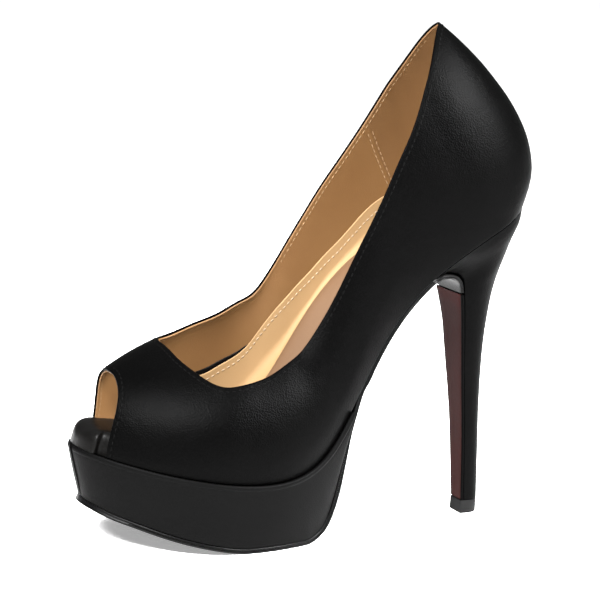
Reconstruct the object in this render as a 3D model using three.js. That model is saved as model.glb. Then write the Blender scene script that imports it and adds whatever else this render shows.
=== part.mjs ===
// Peep toe pump, left shoe. X forward to the toe, Y to the wearer's left (outer side), Z up, millimetres.
// The origin is on the floor at the middle of the heel tip.
import * as THREE from 'three'

// Named sizes
const LENGTH = 201          // bottom line, heel end to toe end, along X
const BACK_X = -16          // X at share 0 of the length
const BALL_WIDTH = 73       // bottom outline at the ball
const HEEL_HEIGHT = 140     // floor to the back of the seat
const INSTEP = 61           // bottom line to the top of the foot form, at the ball
const BACK_HEIGHT = 88      // bottom line to the top of the counter, along the lean
const BACK_REACH = 25.5     // heel centre to the back, at the seat
const WALL = 1.8            // leather and lining together
const GAP = 0.3             // clearance between pieces
const SOCK_THICK = 1.2
const SOCK_GAP = 0.4
const SOLE_THICK = 2.3
const FLAP_THICK = 1.2
const TIP_HEIGHT = 6
const HEEL_CENTRE = 8       // station where the back of the heel starts to turn
const HEEL_TURN = 24        // radius that spreads the stations round the back
const TOE_CENTRE = 130      // station where the toe starts to round off
const TOE_END = BACK_X + LENGTH
const TOE_SWING = 6         // the toe end swings to the inner side
const SWELL_SHARE = 0.16    // share of a section that lies below its widest point

const BLACK = 0x171717
const TAN = 0xc99862
const BROWN = 0x4e302d
const OUTER = 1
const INNER = -1

function table(names, rows) {
  const columns = {}
  names.forEach((name, k) => { columns[name] = rows.map(row => row[k]) })
  return columns
}

// Bottom line of the foot form: station along the length, height over the floor
const BOTTOM = table(['at', 'height'], [
  [0.1194, 0.9386],
  [0.194, 0.87],
  [0.2637, 0.7914],
  [0.3284, 0.69],
  [0.3781, 0.5786],
  [0.4179, 0.4679],
  [0.4577, 0.3679],
  [0.4975, 0.2943],
  [0.5373, 0.25],
  [0.5771, 0.2271],
  [0.6368, 0.2143],
  [0.7065, 0.2164],
  [0.7861, 0.23],
  [0.8607, 0.2471],
  [0.9303, 0.2671],
  [1.01, 0.2929],
])

// Bottom outline, before the toe is rounded off: half widths on the two sides
const OUTLINE = table(['at', 'outer', 'inner'], [
  [0.1194, 0.3699, 0.3699],
  [0.194, 0.363, 0.3562],
  [0.2786, 0.337, 0.3205],
  [0.3284, 0.3288, 0.2945],
  [0.3781, 0.3288, 0.2808],
  [0.4179, 0.3397, 0.2877],
  [0.4577, 0.3644, 0.3096],
  [0.4975, 0.4014, 0.3507],
  [0.5373, 0.4384, 0.4],
  [0.5771, 0.4712, 0.4411],
  [0.6368, 0.5014, 0.4767],
  [0.7065, 0.5068, 0.4932],
  [0.7761, 0.5014, 0.4959],
  [1, 0.4932, 0.4959],
])

// Sections of the foot form: how far each side swells past the bottom, height of the widest
// point, height of the ridge, fullness, lean in degrees, ridge shift to the inner side and
// how much the inner edge is raised under the arch
const SECTIONS = table(['at', 'swellOuter', 'swellInner', 'wide', 'ridge', 'full', 'lean', 'shift', 'arch'], [
  [0.1194, 0.0205, 0.0205, 0.3279, 1.4426, 2, 30, 0, 0],
  [0.194, 0.0205, 0.0205, 0.3279, 1.4754, 2, 29, 0, 0.0262],
  [0.2637, 0.0274, 0.0205, 0.3115, 1.5082, 2, 27, 0.0137, 0.0754],
  [0.3284, 0.0384, 0.0274, 0.2951, 1.4754, 2, 24, 0.0411, 0.1246],
  [0.3781, 0.0466, 0.0342, 0.2787, 1.4098, 2, 20, 0.0685, 0.1541],
  [0.4179, 0.0493, 0.0384, 0.2623, 1.3443, 2, 16.5, 0.0959, 0.1639],
  [0.4577, 0.0466, 0.0384, 0.2459, 1.2787, 2, 13, 0.1233, 0.1541],
  [0.4975, 0.0411, 0.0342, 0.2295, 1.2131, 2, 10, 0.1438, 0.1279],
  [0.5373, 0.0356, 0.0301, 0.2131, 1.1525, 2, 7.5, 0.1575, 0.0885],
  [0.5771, 0.0301, 0.0247, 0.1967, 1.1344, 2, 5.5, 0.1644, 0.0492],
  [0.6368, 0.0247, 0.0205, 0.1803, 1.0738, 2, 3, 0.1644, 0.0164],
  [0.7065, 0.0205, 0.0164, 0.1639, 0.9984, 2.05, 0, 0.1644, 0.0033],
  [0.7861, 0.0164, 0.0137, 0.1311, 0.8754, 2.1, -4, 0.1575, 0],
  [0.8607, 0.0137, 0.011, 0.0984, 0.7607, 2.15, -8, 0.1438, 0],
  [0.9303, 0.011, 0.0082, 0.082, 0.6279, 2.2, -12, 0.1233, 0],
  [0.9751, 0.0082, 0.0068, 0.0656, 0.5164, 2.2, -14, 0.1096, 0],
  [1.01, 0.0068, 0.0068, 0.0492, 0.4098, 2.2, -15, 0.0959, 0],
])

// Back of the heel: level up the counter, reach behind the heel centre
const COUNTER = table(['level', 'reach'], [
  [0, 1],
  [0.0682, 1.3059],
  [0.1591, 1.498],
  [0.2727, 1.5882],
  [0.3864, 1.5922],
  [0.4886, 1.5529],
  [0.5909, 1.4784],
  [0.6932, 1.3882],
  [0.7955, 1.2706],
  [0.8977, 1.1333],
  [1, 0.9725],
])

// Collar: one row per seam line from the throat round to the back; where it starts on the bottom
// line, and where it meets the collar on the outer and on the inner side
const COLLAR = table(['bottom', 'outerAt', 'outerUp', 'innerAt', 'innerUp'], [
  [0.8259, 0.8393, 1, 0.8393, 1],
  [0.8085, 0.8378, 0.91, 0.8323, 0.935],
  [0.7861, 0.8343, 0.82, 0.8184, 0.865],
  [0.7612, 0.8254, 0.73, 0.7975, 0.8],
  [0.7313, 0.807, 0.645, 0.7687, 0.765],
  [0.6965, 0.7821, 0.568, 0.7313, 0.752],
  [0.6567, 0.7488, 0.515, 0.6891, 0.755],
  [0.6169, 0.7065, 0.5, 0.6443, 0.762],
  [0.5721, 0.6567, 0.503, 0.597, 0.766],
  [0.5274, 0.602, 0.509, 0.5498, 0.76],
  [0.4826, 0.5473, 0.512, 0.505, 0.715],
  [0.4403, 0.495, 0.492, 0.4627, 0.642],
  [0.398, 0.4428, 0.443, 0.4199, 0.548],
  [0.3582, 0.3925, 0.391, 0.3756, 0.46],
  [0.3134, 0.3423, 0.362, 0.3284, 0.415],
  [0.2687, 0.291, 0.373, 0.2786, 0.408],
  [0.2214, 0.2388, 0.42, 0.2289, 0.432],
  [0.1741, 0.1861, 0.487, 0.1791, 0.482],
  [0.1294, 0.1318, 0.588, 0.1294, 0.556],
  [0.0871, 0.0831, 0.7, 0.0821, 0.645],
  [0.0448, 0.0398, 0.79, 0.0398, 0.743],
  [0.005, 0, 0.85, 0, 0.825],
  [-0.0323, -0.0348, 0.872, -0.0348, 0.865],
  [-0.0682, -0.0682, 0.878, -0.0682, 0.878],
])

// Peep edge: station of the cut at each height share, outer and inner side
const PEEP = table(['up', 'outer', 'inner'], [
  [0, 0.9677, 0.9204],
  [0.1, 0.9692, 0.9224],
  [0.27, 0.9706, 0.9323],
  [0.475, 0.9672, 0.9498],
  [0.613, 0.9642, 0.9587],
  [0.76, 0.9637, 0.9632],
  [1, 0.9667, 0.9667],
])

// Insole: thickness, and how much its inner edge is cupped
const BED = table(['at', 'thick', 'cup'], [
  [0, 0.0721, 0],
  [0.1194, 0.0738, 0.0066],
  [0.2289, 0.082, 0.0328],
  [0.3284, 0.1016, 0.0656],
  [0.403, 0.1148, 0.082],
  [0.4776, 0.1311, 0.082],
  [0.5522, 0.1475, 0.0721],
  [0.6269, 0.1607, 0.0525],
  [0.7264, 0.1705, 0.0295],
  [0.8259, 0.177, 0.0098],
  [0.9254, 0.1803, 0],
  [1, 0.1803, 0],
])

// Heel: front line, its half width, back line, widest half width and where along it lies
const HEEL = table(['frontAt', 'frontHeight', 'frontHalf', 'backAt', 'backHeight', 'half', 'wideAt'], [
  [0.097, 0.045, 0.0644, 0.0552, 0.045, 0.0685, 0.3],
  [0.1075, 0.2429, 0.0808, 0.0637, 0.2571, 0.0877, 0.32],
  [0.1169, 0.3786, 0.0932, 0.0687, 0.4071, 0.1041, 0.34],
  [0.1279, 0.5114, 0.1123, 0.0697, 0.55, 0.1288, 0.36],
  [0.1353, 0.6093, 0.1274, 0.0657, 0.6571, 0.1548, 0.38],
  [0.1428, 0.6757, 0.1452, 0.0602, 0.7357, 0.1836, 0.4],
  [0.1498, 0.7257, 0.163, 0.0532, 0.7964, 0.2164, 0.43],
  [0.1537, 0.7521, 0.1699, 0.0458, 0.8536, 0.2521, 0.46],
  [0.1607, 0.7771, 0.1822, 0.0368, 0.9071, 0.2849, 0.48],
  [0.1761, 0.795, 0.2055, 0.0264, 0.9536, 0.3151, 0.5],
  [0.2, 0.805, 0.2411, 0.0159, 0.9871, 0.3425, 0.52],
  [0.2279, 0.8086, 0.2849, 0.0119, 1.0114, 0.3589, 0.54],
])

// Sole: underside from the back of the platform to the toe, and the station of the bottom line
// that the platform reaches up to from there
const SOLE = table(['at', 'height', 'over'], [
  [0.4323, 0.3393, 0.4438],
  [0.4363, 0.3079, 0.4478],
  [0.4433, 0.2457, 0.4547],
  [0.4507, 0.1836, 0.4647],
  [0.4607, 0.1236, 0.4786],
  [0.4756, 0.0657, 0.4975],
  [0.4965, 0.0271, 0.5199],
  [0.5249, 0.005, 0.5473],
  [0.5572, 0, 0.5771],
  [0.6169, 0, 0.6269],
  [0.6866, 0, 0.6891],
  [0.7413, 0.01, 0.7488],
  [0.801, 0.0279, 0.8109],
  [0.8607, 0.0507, 0.8706],
  [0.9154, 0.0757, 0.9244],
  [0.9483, 0.09, 0.9572],
  [0.9716, 0.1036, 0.9831],
  [0.9841, 0.1114, 0.9958],
  [0.9879, 0.1139, 0.9999],
])

// Sole: underside where it turns from the arch into the heel front
const TURN = table(['at', 'height', 'half'], [
  [0.1582, 0.7307, 0.1658],
  [0.1612, 0.7486, 0.1699],
  [0.1682, 0.7664, 0.1795],
  [0.1816, 0.7786, 0.2],
  [0.2015, 0.785, 0.2356],
  [0.2264, 0.7871, 0.2795],
])

// Heel front: face of the flap, from the tip up
const BREAST = table(['at', 'height', 'half'], [
  [0.105, 0.0471, 0.0671],
  [0.1149, 0.2429, 0.0822],
  [0.1244, 0.3786, 0.0945],
  [0.1353, 0.5114, 0.1151],
  [0.1428, 0.6093, 0.1288],
  [0.1502, 0.6757, 0.1479],
  [0.1572, 0.725, 0.1644],
])

// Natural cubic spline through the given points, held level outside them
function curve(xs, ys) {
  const n = xs.length
  const bend = new Array(n).fill(0)
  const sweep = new Array(n).fill(0)
  for (let i = 1; i < n - 1; i++) {
    const share = (xs[i] - xs[i - 1]) / (xs[i + 1] - xs[i - 1])
    const pivot = share * bend[i - 1] + 2
    const rise = (ys[i + 1] - ys[i]) / (xs[i + 1] - xs[i]) - (ys[i] - ys[i - 1]) / (xs[i] - xs[i - 1])
    bend[i] = (share - 1) / pivot
    sweep[i] = (6 * rise / (xs[i + 1] - xs[i - 1]) - share * sweep[i - 1]) / pivot
  }
  for (let i = n - 2; i >= 0; i--) bend[i] = bend[i] * bend[i + 1] + sweep[i]
  return x => {
    const t = Math.min(Math.max(x, xs[0]), xs[n - 1])
    let i = 0
    while (i < n - 2 && t > xs[i + 1]) i++
    const width = xs[i + 1] - xs[i]
    const a = (xs[i + 1] - t) / width
    const b = (t - xs[i]) / width
    const cubic = ((a * a * a - a) * bend[i] + (b * b * b - b) * bend[i + 1]) * width * width / 6
    return a * ys[i] + b * ys[i + 1] + cubic
  }
}

const station = share => BACK_X + share * LENGTH
const along = (t, name, size) => curve(t.at.map(station), t[name].map(v => v * size))

const bottomCurve = along(BOTTOM, 'height', HEEL_HEIGHT)
const outerHalf = along(OUTLINE, 'outer', BALL_WIDTH)
const innerHalf = along(OUTLINE, 'inner', BALL_WIDTH)
const swellOuter = along(SECTIONS, 'swellOuter', BALL_WIDTH)
const swellInner = along(SECTIONS, 'swellInner', BALL_WIDTH)
const wideHeight = along(SECTIONS, 'wide', INSTEP)
const ridgeHeight = along(SECTIONS, 'ridge', INSTEP)
const fullness = along(SECTIONS, 'full', 1)
const leanAngle = along(SECTIONS, 'lean', Math.PI / 180)
const ridgeShift = along(SECTIONS, 'shift', -BALL_WIDTH)
const archRaise = along(SECTIONS, 'arch', INSTEP)
const bedThick = along(BED, 'thick', INSTEP)
const bedCup = along(BED, 'cup', INSTEP)
const counterReach = curve(COUNTER.level.map(v => v * BACK_HEIGHT), COUNTER.reach.map(v => v * BACK_REACH))
const SEAT_LEAN = leanAngle(HEEL_CENTRE)

const clamp = (v, low, high) => Math.min(Math.max(v, low), high)
const mix = (a, b, t) => a + (b - a) * t
const turnShare = at => Math.sin(clamp((HEEL_CENTRE - at) / HEEL_TURN, 0, Math.PI / 2))

// Half-round factor of the toe outline at a station
function toeRound(at, inset) {
  const share = clamp((at - TOE_CENTRE) / (TOE_END - inset - TOE_CENTRE), 0, 1)
  return { share, round: Math.pow(Math.max(1 - Math.pow(share, 2.05), 0), 1 / 2.05) }
}

// Bottom outline across the shoe, drawn in by the inset
function edge(at, side, inset) {
  const toe = toeRound(at, inset)
  const half = (side > 0 ? outerHalf(at) : innerHalf(at)) - inset
  const swing = -TOE_SWING * toe.share * toe.share * (3 - 2 * toe.share)
  return swing + side * half * toe.round
}

// Direction square to the bottom line at a station, in the side view
function bottomNormal(at) {
  const x = Math.max(at, HEEL_CENTRE)
  const nearSeat = x < HEEL_CENTRE + 0.5
  const slope = nearSeat ? -Math.tan(SEAT_LEAN) : (bottomCurve(x + 0.4) - bottomCurve(x - 0.4)) / 0.8
  const size = Math.hypot(1, slope)
  return [-slope / size, 1 / size]
}

// Point over the bottom of the foot form: station, place across from -1 inner to 1 outer, height
// square to the bottom, and how far the outline is drawn in
function overBottom(at, across, height, inset) {
  const x = Math.max(at, HEEL_CENTRE)
  const turn = turnShare(at)
  const [nx, nz] = bottomNormal(at)
  const reach = turn * (BACK_REACH - inset)
  const outer = edge(x, OUTER, inset)
  const inner = edge(x, INNER, inset)
  const y = mix(inner, outer, (1 + across) / 2) * Math.sqrt(Math.max(1 - turn * turn, 0))
  const lift = height + archRaise(x) * (1 - across) / 2
  return [
    x - Math.cos(SEAT_LEAN) * reach + nx * lift,
    y,
    bottomCurve(x) + Math.sin(SEAT_LEAN) * reach + nz * lift,
  ]
}

// Point on the foot form: station, share up the section from the bottom edge to the ridge, side
function onForm(at, up, side) {
  const x = Math.max(at, HEEL_CENTRE)
  const turn = turnShare(at)
  const ridge = ridgeHeight(x)
  const wide = wideHeight(x)
  const power = 2 / fullness(x)
  const angle = clamp((up - SWELL_SHARE) / (1 - SWELL_SHARE), 0, 1) * Math.PI / 2
  const under = clamp(1 - up / SWELL_SHARE, 0, 1)
  const above = wide + (ridge - wide) * Math.pow(Math.sin(angle), power)
  const height = up < SWELL_SHARE ? wide * up / SWELL_SHARE : above
  const narrow = up < SWELL_SHARE ? 1 : Math.pow(Math.max(Math.cos(angle), 0), power)
  const swell = (side > 0 ? swellOuter(x) : swellInner(x)) * (1 - under * under)
  const half = Math.abs(edge(x, side, 0)) + swell
  const rise = height / ridge
  const centre = ridgeShift(x) * rise * rise * (3 - 2 * rise) * (1 - narrow * narrow)
  const lean = leanAngle(x)
  const reach = turn * counterReach(height)
  const arch = side < 0 ? archRaise(x) * (1 - rise) * (1 - rise) : 0
  const [nx, nz] = bottomNormal(at)
  return [
    x + height * Math.sin(lean) - Math.cos(SEAT_LEAN) * reach + nx * arch,
    (centre + side * half * narrow) * Math.sqrt(Math.max(1 - turn * turn, 0)),
    bottomCurve(x) + height * Math.cos(lean) + Math.sin(SEAT_LEAN) * reach + nz * arch,
  ]
}

// A growing set of points and triangles; points in the same place are one point
class Skin {
  constructor() {
    this.points = []
    this.faces = []
    this.known = new Map()
  }

  point(p) {
    const key = p.map(v => Math.round(v * 2000)).join(' ')
    if (!this.known.has(key)) {
      this.known.set(key, this.points.length)
      this.points.push(p)
    }
    return this.known.get(key)
  }

  triangle(a, b, c) {
    if (a !== b && b !== c && c !== a) this.faces.push([a, b, c])
  }

  quad(a, b, c, d) {
    this.triangle(a, b, c)
    this.triangle(a, c, d)
  }

  grid(rows) {
    const index = rows.map(row => row.map(p => this.point(p)))
    for (let i = 0; i + 1 < index.length; i++) {
      for (let j = 0; j + 1 < index[i].length; j++) {
        this.quad(index[i][j], index[i][j + 1], index[i + 1][j + 1], index[i + 1][j])
      }
    }
  }
}

function piece(name, skin, look) {
  const corner = k => skin.points[k]
  let volume = 0
  for (const [a, b, c] of skin.faces) {
    const [p, q, r] = [corner(a), corner(b), corner(c)]
    volume += p[0] * (q[1] * r[2] - q[2] * r[1]) - p[1] * (q[0] * r[2] - q[2] * r[0])
    volume += p[2] * (q[0] * r[1] - q[1] * r[0])
  }
  const faces = volume > 0 ? skin.faces : skin.faces.map(([a, b, c]) => [a, c, b])
  const geometry = new THREE.BufferGeometry()
  geometry.setAttribute('position', new THREE.Float32BufferAttribute(skin.points.flat(), 3))
  geometry.setIndex(faces.flat())
  geometry.computeVertexNormals()
  const finish = { color: look.color, roughness: look.roughness, metalness: 0 }
  const material = new THREE.MeshStandardMaterial(finish)
  const mesh = new THREE.Mesh(geometry, material)
  mesh.name = name
  return mesh
}

// Closed body through rings of equal length; both ends are closed by strips across the ring
function loft(rings) {
  const skin = new Skin()
  skin.grid(rings.map(ring => [...ring, ring[0]]))
  for (const [ring, flip] of [[rings[0], true], [rings[rings.length - 1], false]]) {
    const count = ring.length
    const index = ring.map(p => skin.point(p))
    for (let i = 0; i < count / 2 - 1; i++) {
      const corners = [index[i], index[i + 1], index[count - 2 - i], index[count - 1 - i]]
      if (flip) corners.reverse()
      skin.quad(...corners)
    }
  }
  return skin
}

// Hollow body: the given open skin, a second skin set in by the wall, and the rims between them
function thicken(outer, wall) {
  const normals = outer.points.map(() => new THREE.Vector3())
  const at = k => new THREE.Vector3(...outer.points[k])
  for (const [a, b, c] of outer.faces) {
    const cross = at(b).sub(at(a)).cross(at(c).sub(at(a)))
    for (const k of [a, b, c]) normals[k].add(cross)
  }
  const count = outer.points.length
  const skin = new Skin()
  skin.points = [...outer.points]
  outer.points.forEach((p, k) => {
    const inward = normals[k].normalize().multiplyScalar(-wall)
    skin.points.push([p[0] + inward.x, p[1] + inward.y, p[2] + inward.z])
  })
  const uses = new Map()
  for (const [a, b, c] of outer.faces) {
    skin.faces.push([a, b, c], [a + count, c + count, b + count])
    for (const [p, q] of [[a, b], [b, c], [c, a]]) uses.set(p + ' ' + q, [p, q])
  }
  for (const [p, q] of uses.values()) {
    if (!uses.has(q + ' ' + p)) skin.quad(q, p, p + count, q + count)
  }
  return skin
}

const shares = count => Array.from({ length: count + 1 }, (_, k) => k / count)

// The vamp runs from the peep edge back to the throat, where the collar crosses the instep, and to
// the seam line of row THROAT_ROW; the quarters run from that line round to the back
function upperSkin() {
  const VAMP_COLUMNS = 10
  const THROAT_ROW = 4
  const THROAT_ROWS = 6
  const QUARTER_COLUMNS = 38
  const ROWS = 10
  const rowNumbers = COLLAR.bottom.map((_, k) => k)
  const last = rowNumbers.length - 1
  const skin = new Skin()
  for (const side of [OUTER, INNER]) {
    const name = side > 0 ? 'outer' : 'inner'
    const bottomAt = curve(rowNumbers, COLLAR.bottom.map(station))
    const topAt = curve(rowNumbers, COLLAR[name + 'At'].map(station))
    const topUp = curve(rowNumbers, COLLAR[name + 'Up'])
    const peepAt = curve(PEEP.up, PEEP[name].map(station))
    const seam = (row, up) => [mix(bottomAt(row), topAt(row), up), topUp(row) * up]
    const back = [
      ...shares(ROWS).map(up => seam(THROAT_ROW, up)),
      ...shares(THROAT_ROWS).slice(1).map(t => seam(THROAT_ROW * (1 - t), 1)),
    ]
    const vamp = shares(VAMP_COLUMNS).map(share => {
      return back.map(([at, up]) => onForm(mix(peepAt(up), at, share), up, side))
    })
    const quarter = shares(QUARTER_COLUMNS).map(share => {
      return shares(ROWS).map(up => onForm(...seam(mix(THROAT_ROW, last, share), up), side))
    })
    for (const columns of [vamp, quarter]) {
      skin.grid(side < 0 ? columns : columns.map(column => column.slice().reverse()))
    }
  }
  return skin
}

// Insole: covered board with a cushioned, rounded toe end
const ACROSS = 10
const acrossPlaces = Array.from({ length: ACROSS + 1 }, (_, k) => -Math.cos(Math.PI * k / ACROSS))
const INSOLE_INSET = WALL + GAP + 0.25
const LIP = 1.2
const TOE_INSET = -0.6
const PEEP_OUTER = station(PEEP.outer[0]) + 0.4
const PEEP_INNER = station(PEEP.inner[0]) + 0.4

// In front of the peep edge the insole fills out to the rim of the platform
function insoleInset(at, across) {
  const start = mix(PEEP_INNER, PEEP_OUTER, (1 + across) / 2)
  const free = clamp((at - start) / 4, 0, 1)
  return mix(INSOLE_INSET, TOE_INSET, free * free * (3 - 2 * free))
}

function insoleTop(at, across, extra) {
  const roll = Math.pow(Math.max(1 - Math.pow(Math.abs(across), 6), 0), 1 / 3)
  const nose = clamp((at - TOE_CENTRE) / (TOE_END - TOE_INSET - TOE_CENTRE), 0, 1)
  const noseRoll = Math.pow(1 - Math.pow(nose, 10), 1 / 3)
  const cup = bedCup(at) * Math.pow((1 - across) / 2, 2)
  return LIP + (bedThick(at) - LIP) * roll * noseRoll + cup * roll + extra
}

function plate(stations, inset, lower, upper) {
  const face = (at, height) => across => overBottom(at, across, height(at, across), inset(at, across))
  return loft(stations.map(at => [
    ...acrossPlaces.map(face(at, upper)),
    ...acrossPlaces.slice().reverse().map(face(at, lower)),
  ]))
}

function spread(from, to, count, crowd) {
  return shares(count).map(t => mix(from, to, mix(t, Math.sin(t * Math.PI / 2), crowd)))
}

const BACK_STATION = HEEL_CENTRE - HEEL_TURN * Math.PI / 2 + 1.2
const insoleStations = [
  ...spread(BACK_STATION, 130, 18, 0),
  ...spread(130, TOE_END - TOE_INSET - 0.05, 14, 0.85).slice(1),
]
const insole = plate(insoleStations, insoleInset, () => 0.2, (at, across) => insoleTop(at, across, 0))

// Sock: lies on the insole from the heel to the ball, front end rounded
const SOCK_FRONT = 134
const SOCK_NOSE = 22
const sockStations = [
  ...insoleStations.filter(at => at < SOCK_FRONT - SOCK_NOSE - 2),
  ...spread(SOCK_FRONT - SOCK_NOSE, SOCK_FRONT, 7, 0.95),
]
function sockAcross(at, across) {
  const nose = clamp((at - SOCK_FRONT + SOCK_NOSE) / (SOCK_NOSE + 0.3), 0, 1)
  return across * Math.pow(1 - Math.pow(nose, 2.4), 1 / 2.4) * 0.93
}
function sockPoint(at, across, extra) {
  const place = sockAcross(at, across)
  return overBottom(at, place, insoleTop(at, place, extra), INSOLE_INSET)
}
const sock = loft(sockStations.map(at => [
  ...acrossPlaces.map(across => sockPoint(at, across, SOCK_GAP + SOCK_THICK)),
  ...acrossPlaces.slice().reverse().map(across => sockPoint(at, across, SOCK_GAP)),
]))

// Line of the sole's underside behind and below the platform, by row of its table
const SOLE_INSET = 2.4
const ARCH_INSET = 1.2
const soleRows = SOLE.at.map((_, k) => k)
const soleX = curve(soleRows, SOLE.at.map(station))
const soleCurve = curve(soleRows, SOLE.height.map(v => v * HEEL_HEIGHT))
const soleZ = row => Math.max(soleCurve(row), 0)
const soleOver = curve(soleRows, SOLE.over.map(station))
const ARCH_SWAY = 10

function solePoint(row, across, height) {
  const x = soleX(row)
  const z = soleZ(row)
  const dx = soleX(row + 0.02) - soleX(row - 0.02)
  const dz = soleZ(row + 0.02) - soleZ(row - 0.02)
  const size = Math.hypot(dx, dz)
  const sway = x > TOE_CENTRE ? 0 : ARCH_SWAY * (1 - across) / 2 * Math.pow(clamp((z - 12) / 50, 0, 1), 1.6)
  const inset = mix(ARCH_INSET, SOLE_INSET, clamp(row / 5, 0, 1))
  const y = mix(edge(x, INNER, inset), edge(x, OUTER, inset), (1 + across) / 2)
  return [x + sway - dz / size * height, y, z + dx / size * height]
}

// Platform: top under the foot form with a bead round its rim, sides drawn in to the sole
function platformRing(row) {
  const at = soleOver(row)
  const toeward = clamp((at - TOE_CENTRE) / (TOE_END - TOE_CENTRE), 0, 1)
  const round = toeRound(at, 0).round
  const under = across => solePoint(row, across, SOLE_THICK + GAP)
  const rim = (side, height, out) => {
    const p = overBottom(at, side, height, 0)
    const forward = out * toeward * toeward * (1 - round) * 0.9
    return [p[0] + forward, p[1] + side * out * Math.max(round, 0.25), p[2]]
  }
  const wallPoint = (side, share) => {
    const top = rim(side, -2.4, 1.2)
    const foot = under(side)
    const belly = 0.5 * Math.sin(share * Math.PI) * side
    return [mix(top[0], foot[0], share), mix(top[1], foot[1], share) + belly, mix(top[2], foot[2], share)]
  }
  const sidePoints = side => [
    rim(side, -GAP, 0.5),
    rim(side, 0.2, 0.9),
    rim(side, 0.2, 1.4),
    rim(side, -0.5, 1.9),
    rim(side, -1.4, 1.8),
    wallPoint(side, 0),
    wallPoint(side, 0.5),
    under(side),
  ]
  const top = [-0.7, -0.35, 0, 0.35, 0.7].map(across => overBottom(at, across, -GAP, 0))
  const bottom = [0.7, 0.35, 0, -0.35, -0.7].map(under)
  return [...sidePoints(INNER).reverse(), ...top, ...sidePoints(OUTER), ...bottom]
}
// The ring starts in the middle of one side, so that the closing strips run across the platform
function turned(ring, steps) {
  return [...ring.slice(steps), ...ring.slice(0, steps)]
}
const PLATFORM_RINGS = 40
const platformRows = spread(0, SOLE.at.length - 1, PLATFORM_RINGS, 0.5)
const platform = loft(platformRows.map(row => turned(platformRing(row), 5)))

// Sole: from the heel front along the arch, down the back of the platform and under it to the toe
const SOLE_ACROSS = [-1, -0.5, 0, 0.5, 1]
const turnRows = TURN.at.map((_, k) => k)
const turnX = curve(turnRows, TURN.at.map(station))
const turnZ = curve(turnRows, TURN.height.map(v => v * HEEL_HEIGHT))
const turnHalf = curve(turnRows, TURN.half.map(v => v * BALL_WIDTH))

function turnPoint(row, across, height) {
  const dx = turnX(row + 0.02) - turnX(row - 0.02)
  const dz = turnZ(row + 0.02) - turnZ(row - 0.02)
  const size = Math.hypot(dx, dz)
  return [turnX(row) - dz / size * height, across * turnHalf(row), turnZ(row) + dx / size * height]
}

const ARCH_START = 36.5
const ARCH_END = 69.5
const soleRing = (low, high) => [...SOLE_ACROSS.map(high), ...SOLE_ACROSS.slice().reverse().map(low)]
const soleRings = []
for (const share of shares(10)) {
  const row = share * (TURN.at.length - 1)
  const thick = mix(FLAP_THICK, SOLE_THICK, share)
  soleRings.push(soleRing(across => turnPoint(row, across, 0), across => turnPoint(row, across, thick)))
}
for (const share of shares(12)) {
  const at = mix(ARCH_START, ARCH_END, share)
  const inset = ARCH_INSET
  soleRings.push(soleRing(
    across => overBottom(at, across, -GAP - SOLE_THICK, inset),
    across => overBottom(at, across, -GAP, inset),
  ))
}
for (const share of shares(30)) {
  const row = share * (SOLE.at.length - 1)
  soleRings.push(soleRing(across => solePoint(row, across, 0), across => solePoint(row, across, SOLE_THICK)))
}
const outsole = loft(soleRings)

// Heel: a ring per row, flat in front and rounded behind, the last one on the seat
const FRONT_PLACES = [0.35, 0.75]
const SIDE_PLACES = [0, 0.33, 0.66, 1]
const BACK_TURNS = [18, 36, 52, 66, 78, 87].map(angle => angle * Math.PI / 180)
const heelRows = HEEL.frontAt.map((_, k) => k)
const TIP_TOP = TIP_HEIGHT + GAP
const heelLevels = name => curve(heelRows, HEEL[name].map((v, k) => (k ? v * HEEL_HEIGHT : TIP_TOP)))
const heelLine = (name, size) => curve(heelRows, HEEL[name].map(v => v * size))
const heelFrontX = curve(heelRows, HEEL.frontAt.map(station))
const heelBackX = curve(heelRows, HEEL.backAt.map(station))
const heelFrontZ = heelLevels('frontHeight')
const heelBackZ = heelLevels('backHeight')
const heelFrontHalf = heelLine('frontHalf', BALL_WIDTH)
const heelHalf = heelLine('half', BALL_WIDTH)
const heelWideAt = heelLine('wideAt', 1)

// Half of a heel ring from the front to the back: share along it and half width
function heelProfile(front, widest, wideAt) {
  return [
    ...FRONT_PLACES.map(place => [0, front * place]),
    ...SIDE_PLACES.map(place => [wideAt * place, front + (widest - front) * Math.sin(place * Math.PI / 2)]),
    ...BACK_TURNS.map(angle => [wideAt + (1 - wideAt) * Math.sin(angle), widest * Math.cos(angle)]),
  ]
}

function bothSides(half, place) {
  return [...half.map(p => place(p, OUTER)), ...half.slice().reverse().map(p => place(p, INNER))]
}

function heelRing(row) {
  const front = [heelFrontX(row), heelFrontZ(row)]
  const back = [heelBackX(row), heelBackZ(row)]
  const half = heelProfile(heelFrontHalf(row), heelHalf(row), heelWideAt(row))
  return bothSides(half, ([t, y], side) => [mix(front[0], back[0], t), side * y, mix(front[1], back[1], t)])
}

const SEAT_FRONT = 35.6
const SEAT_INSET = 0.3
function seatRing() {
  const half = [
    ...FRONT_PLACES.map(place => [SEAT_FRONT, place]),
    ...SIDE_PLACES.map(place => [mix(SEAT_FRONT, HEEL_CENTRE, place), 1]),
    ...BACK_TURNS.map(angle => [HEEL_CENTRE - HEEL_TURN * angle, 1]),
  ]
  return bothSides(half, ([at, place], side) => overBottom(at, side * place, -GAP, SEAT_INSET))
}
const HEEL_RINGS = 18
const heel = loft([...shares(HEEL_RINGS).map(t => heelRing(t * (HEEL.frontAt.length - 1))), seatRing()])

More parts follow.
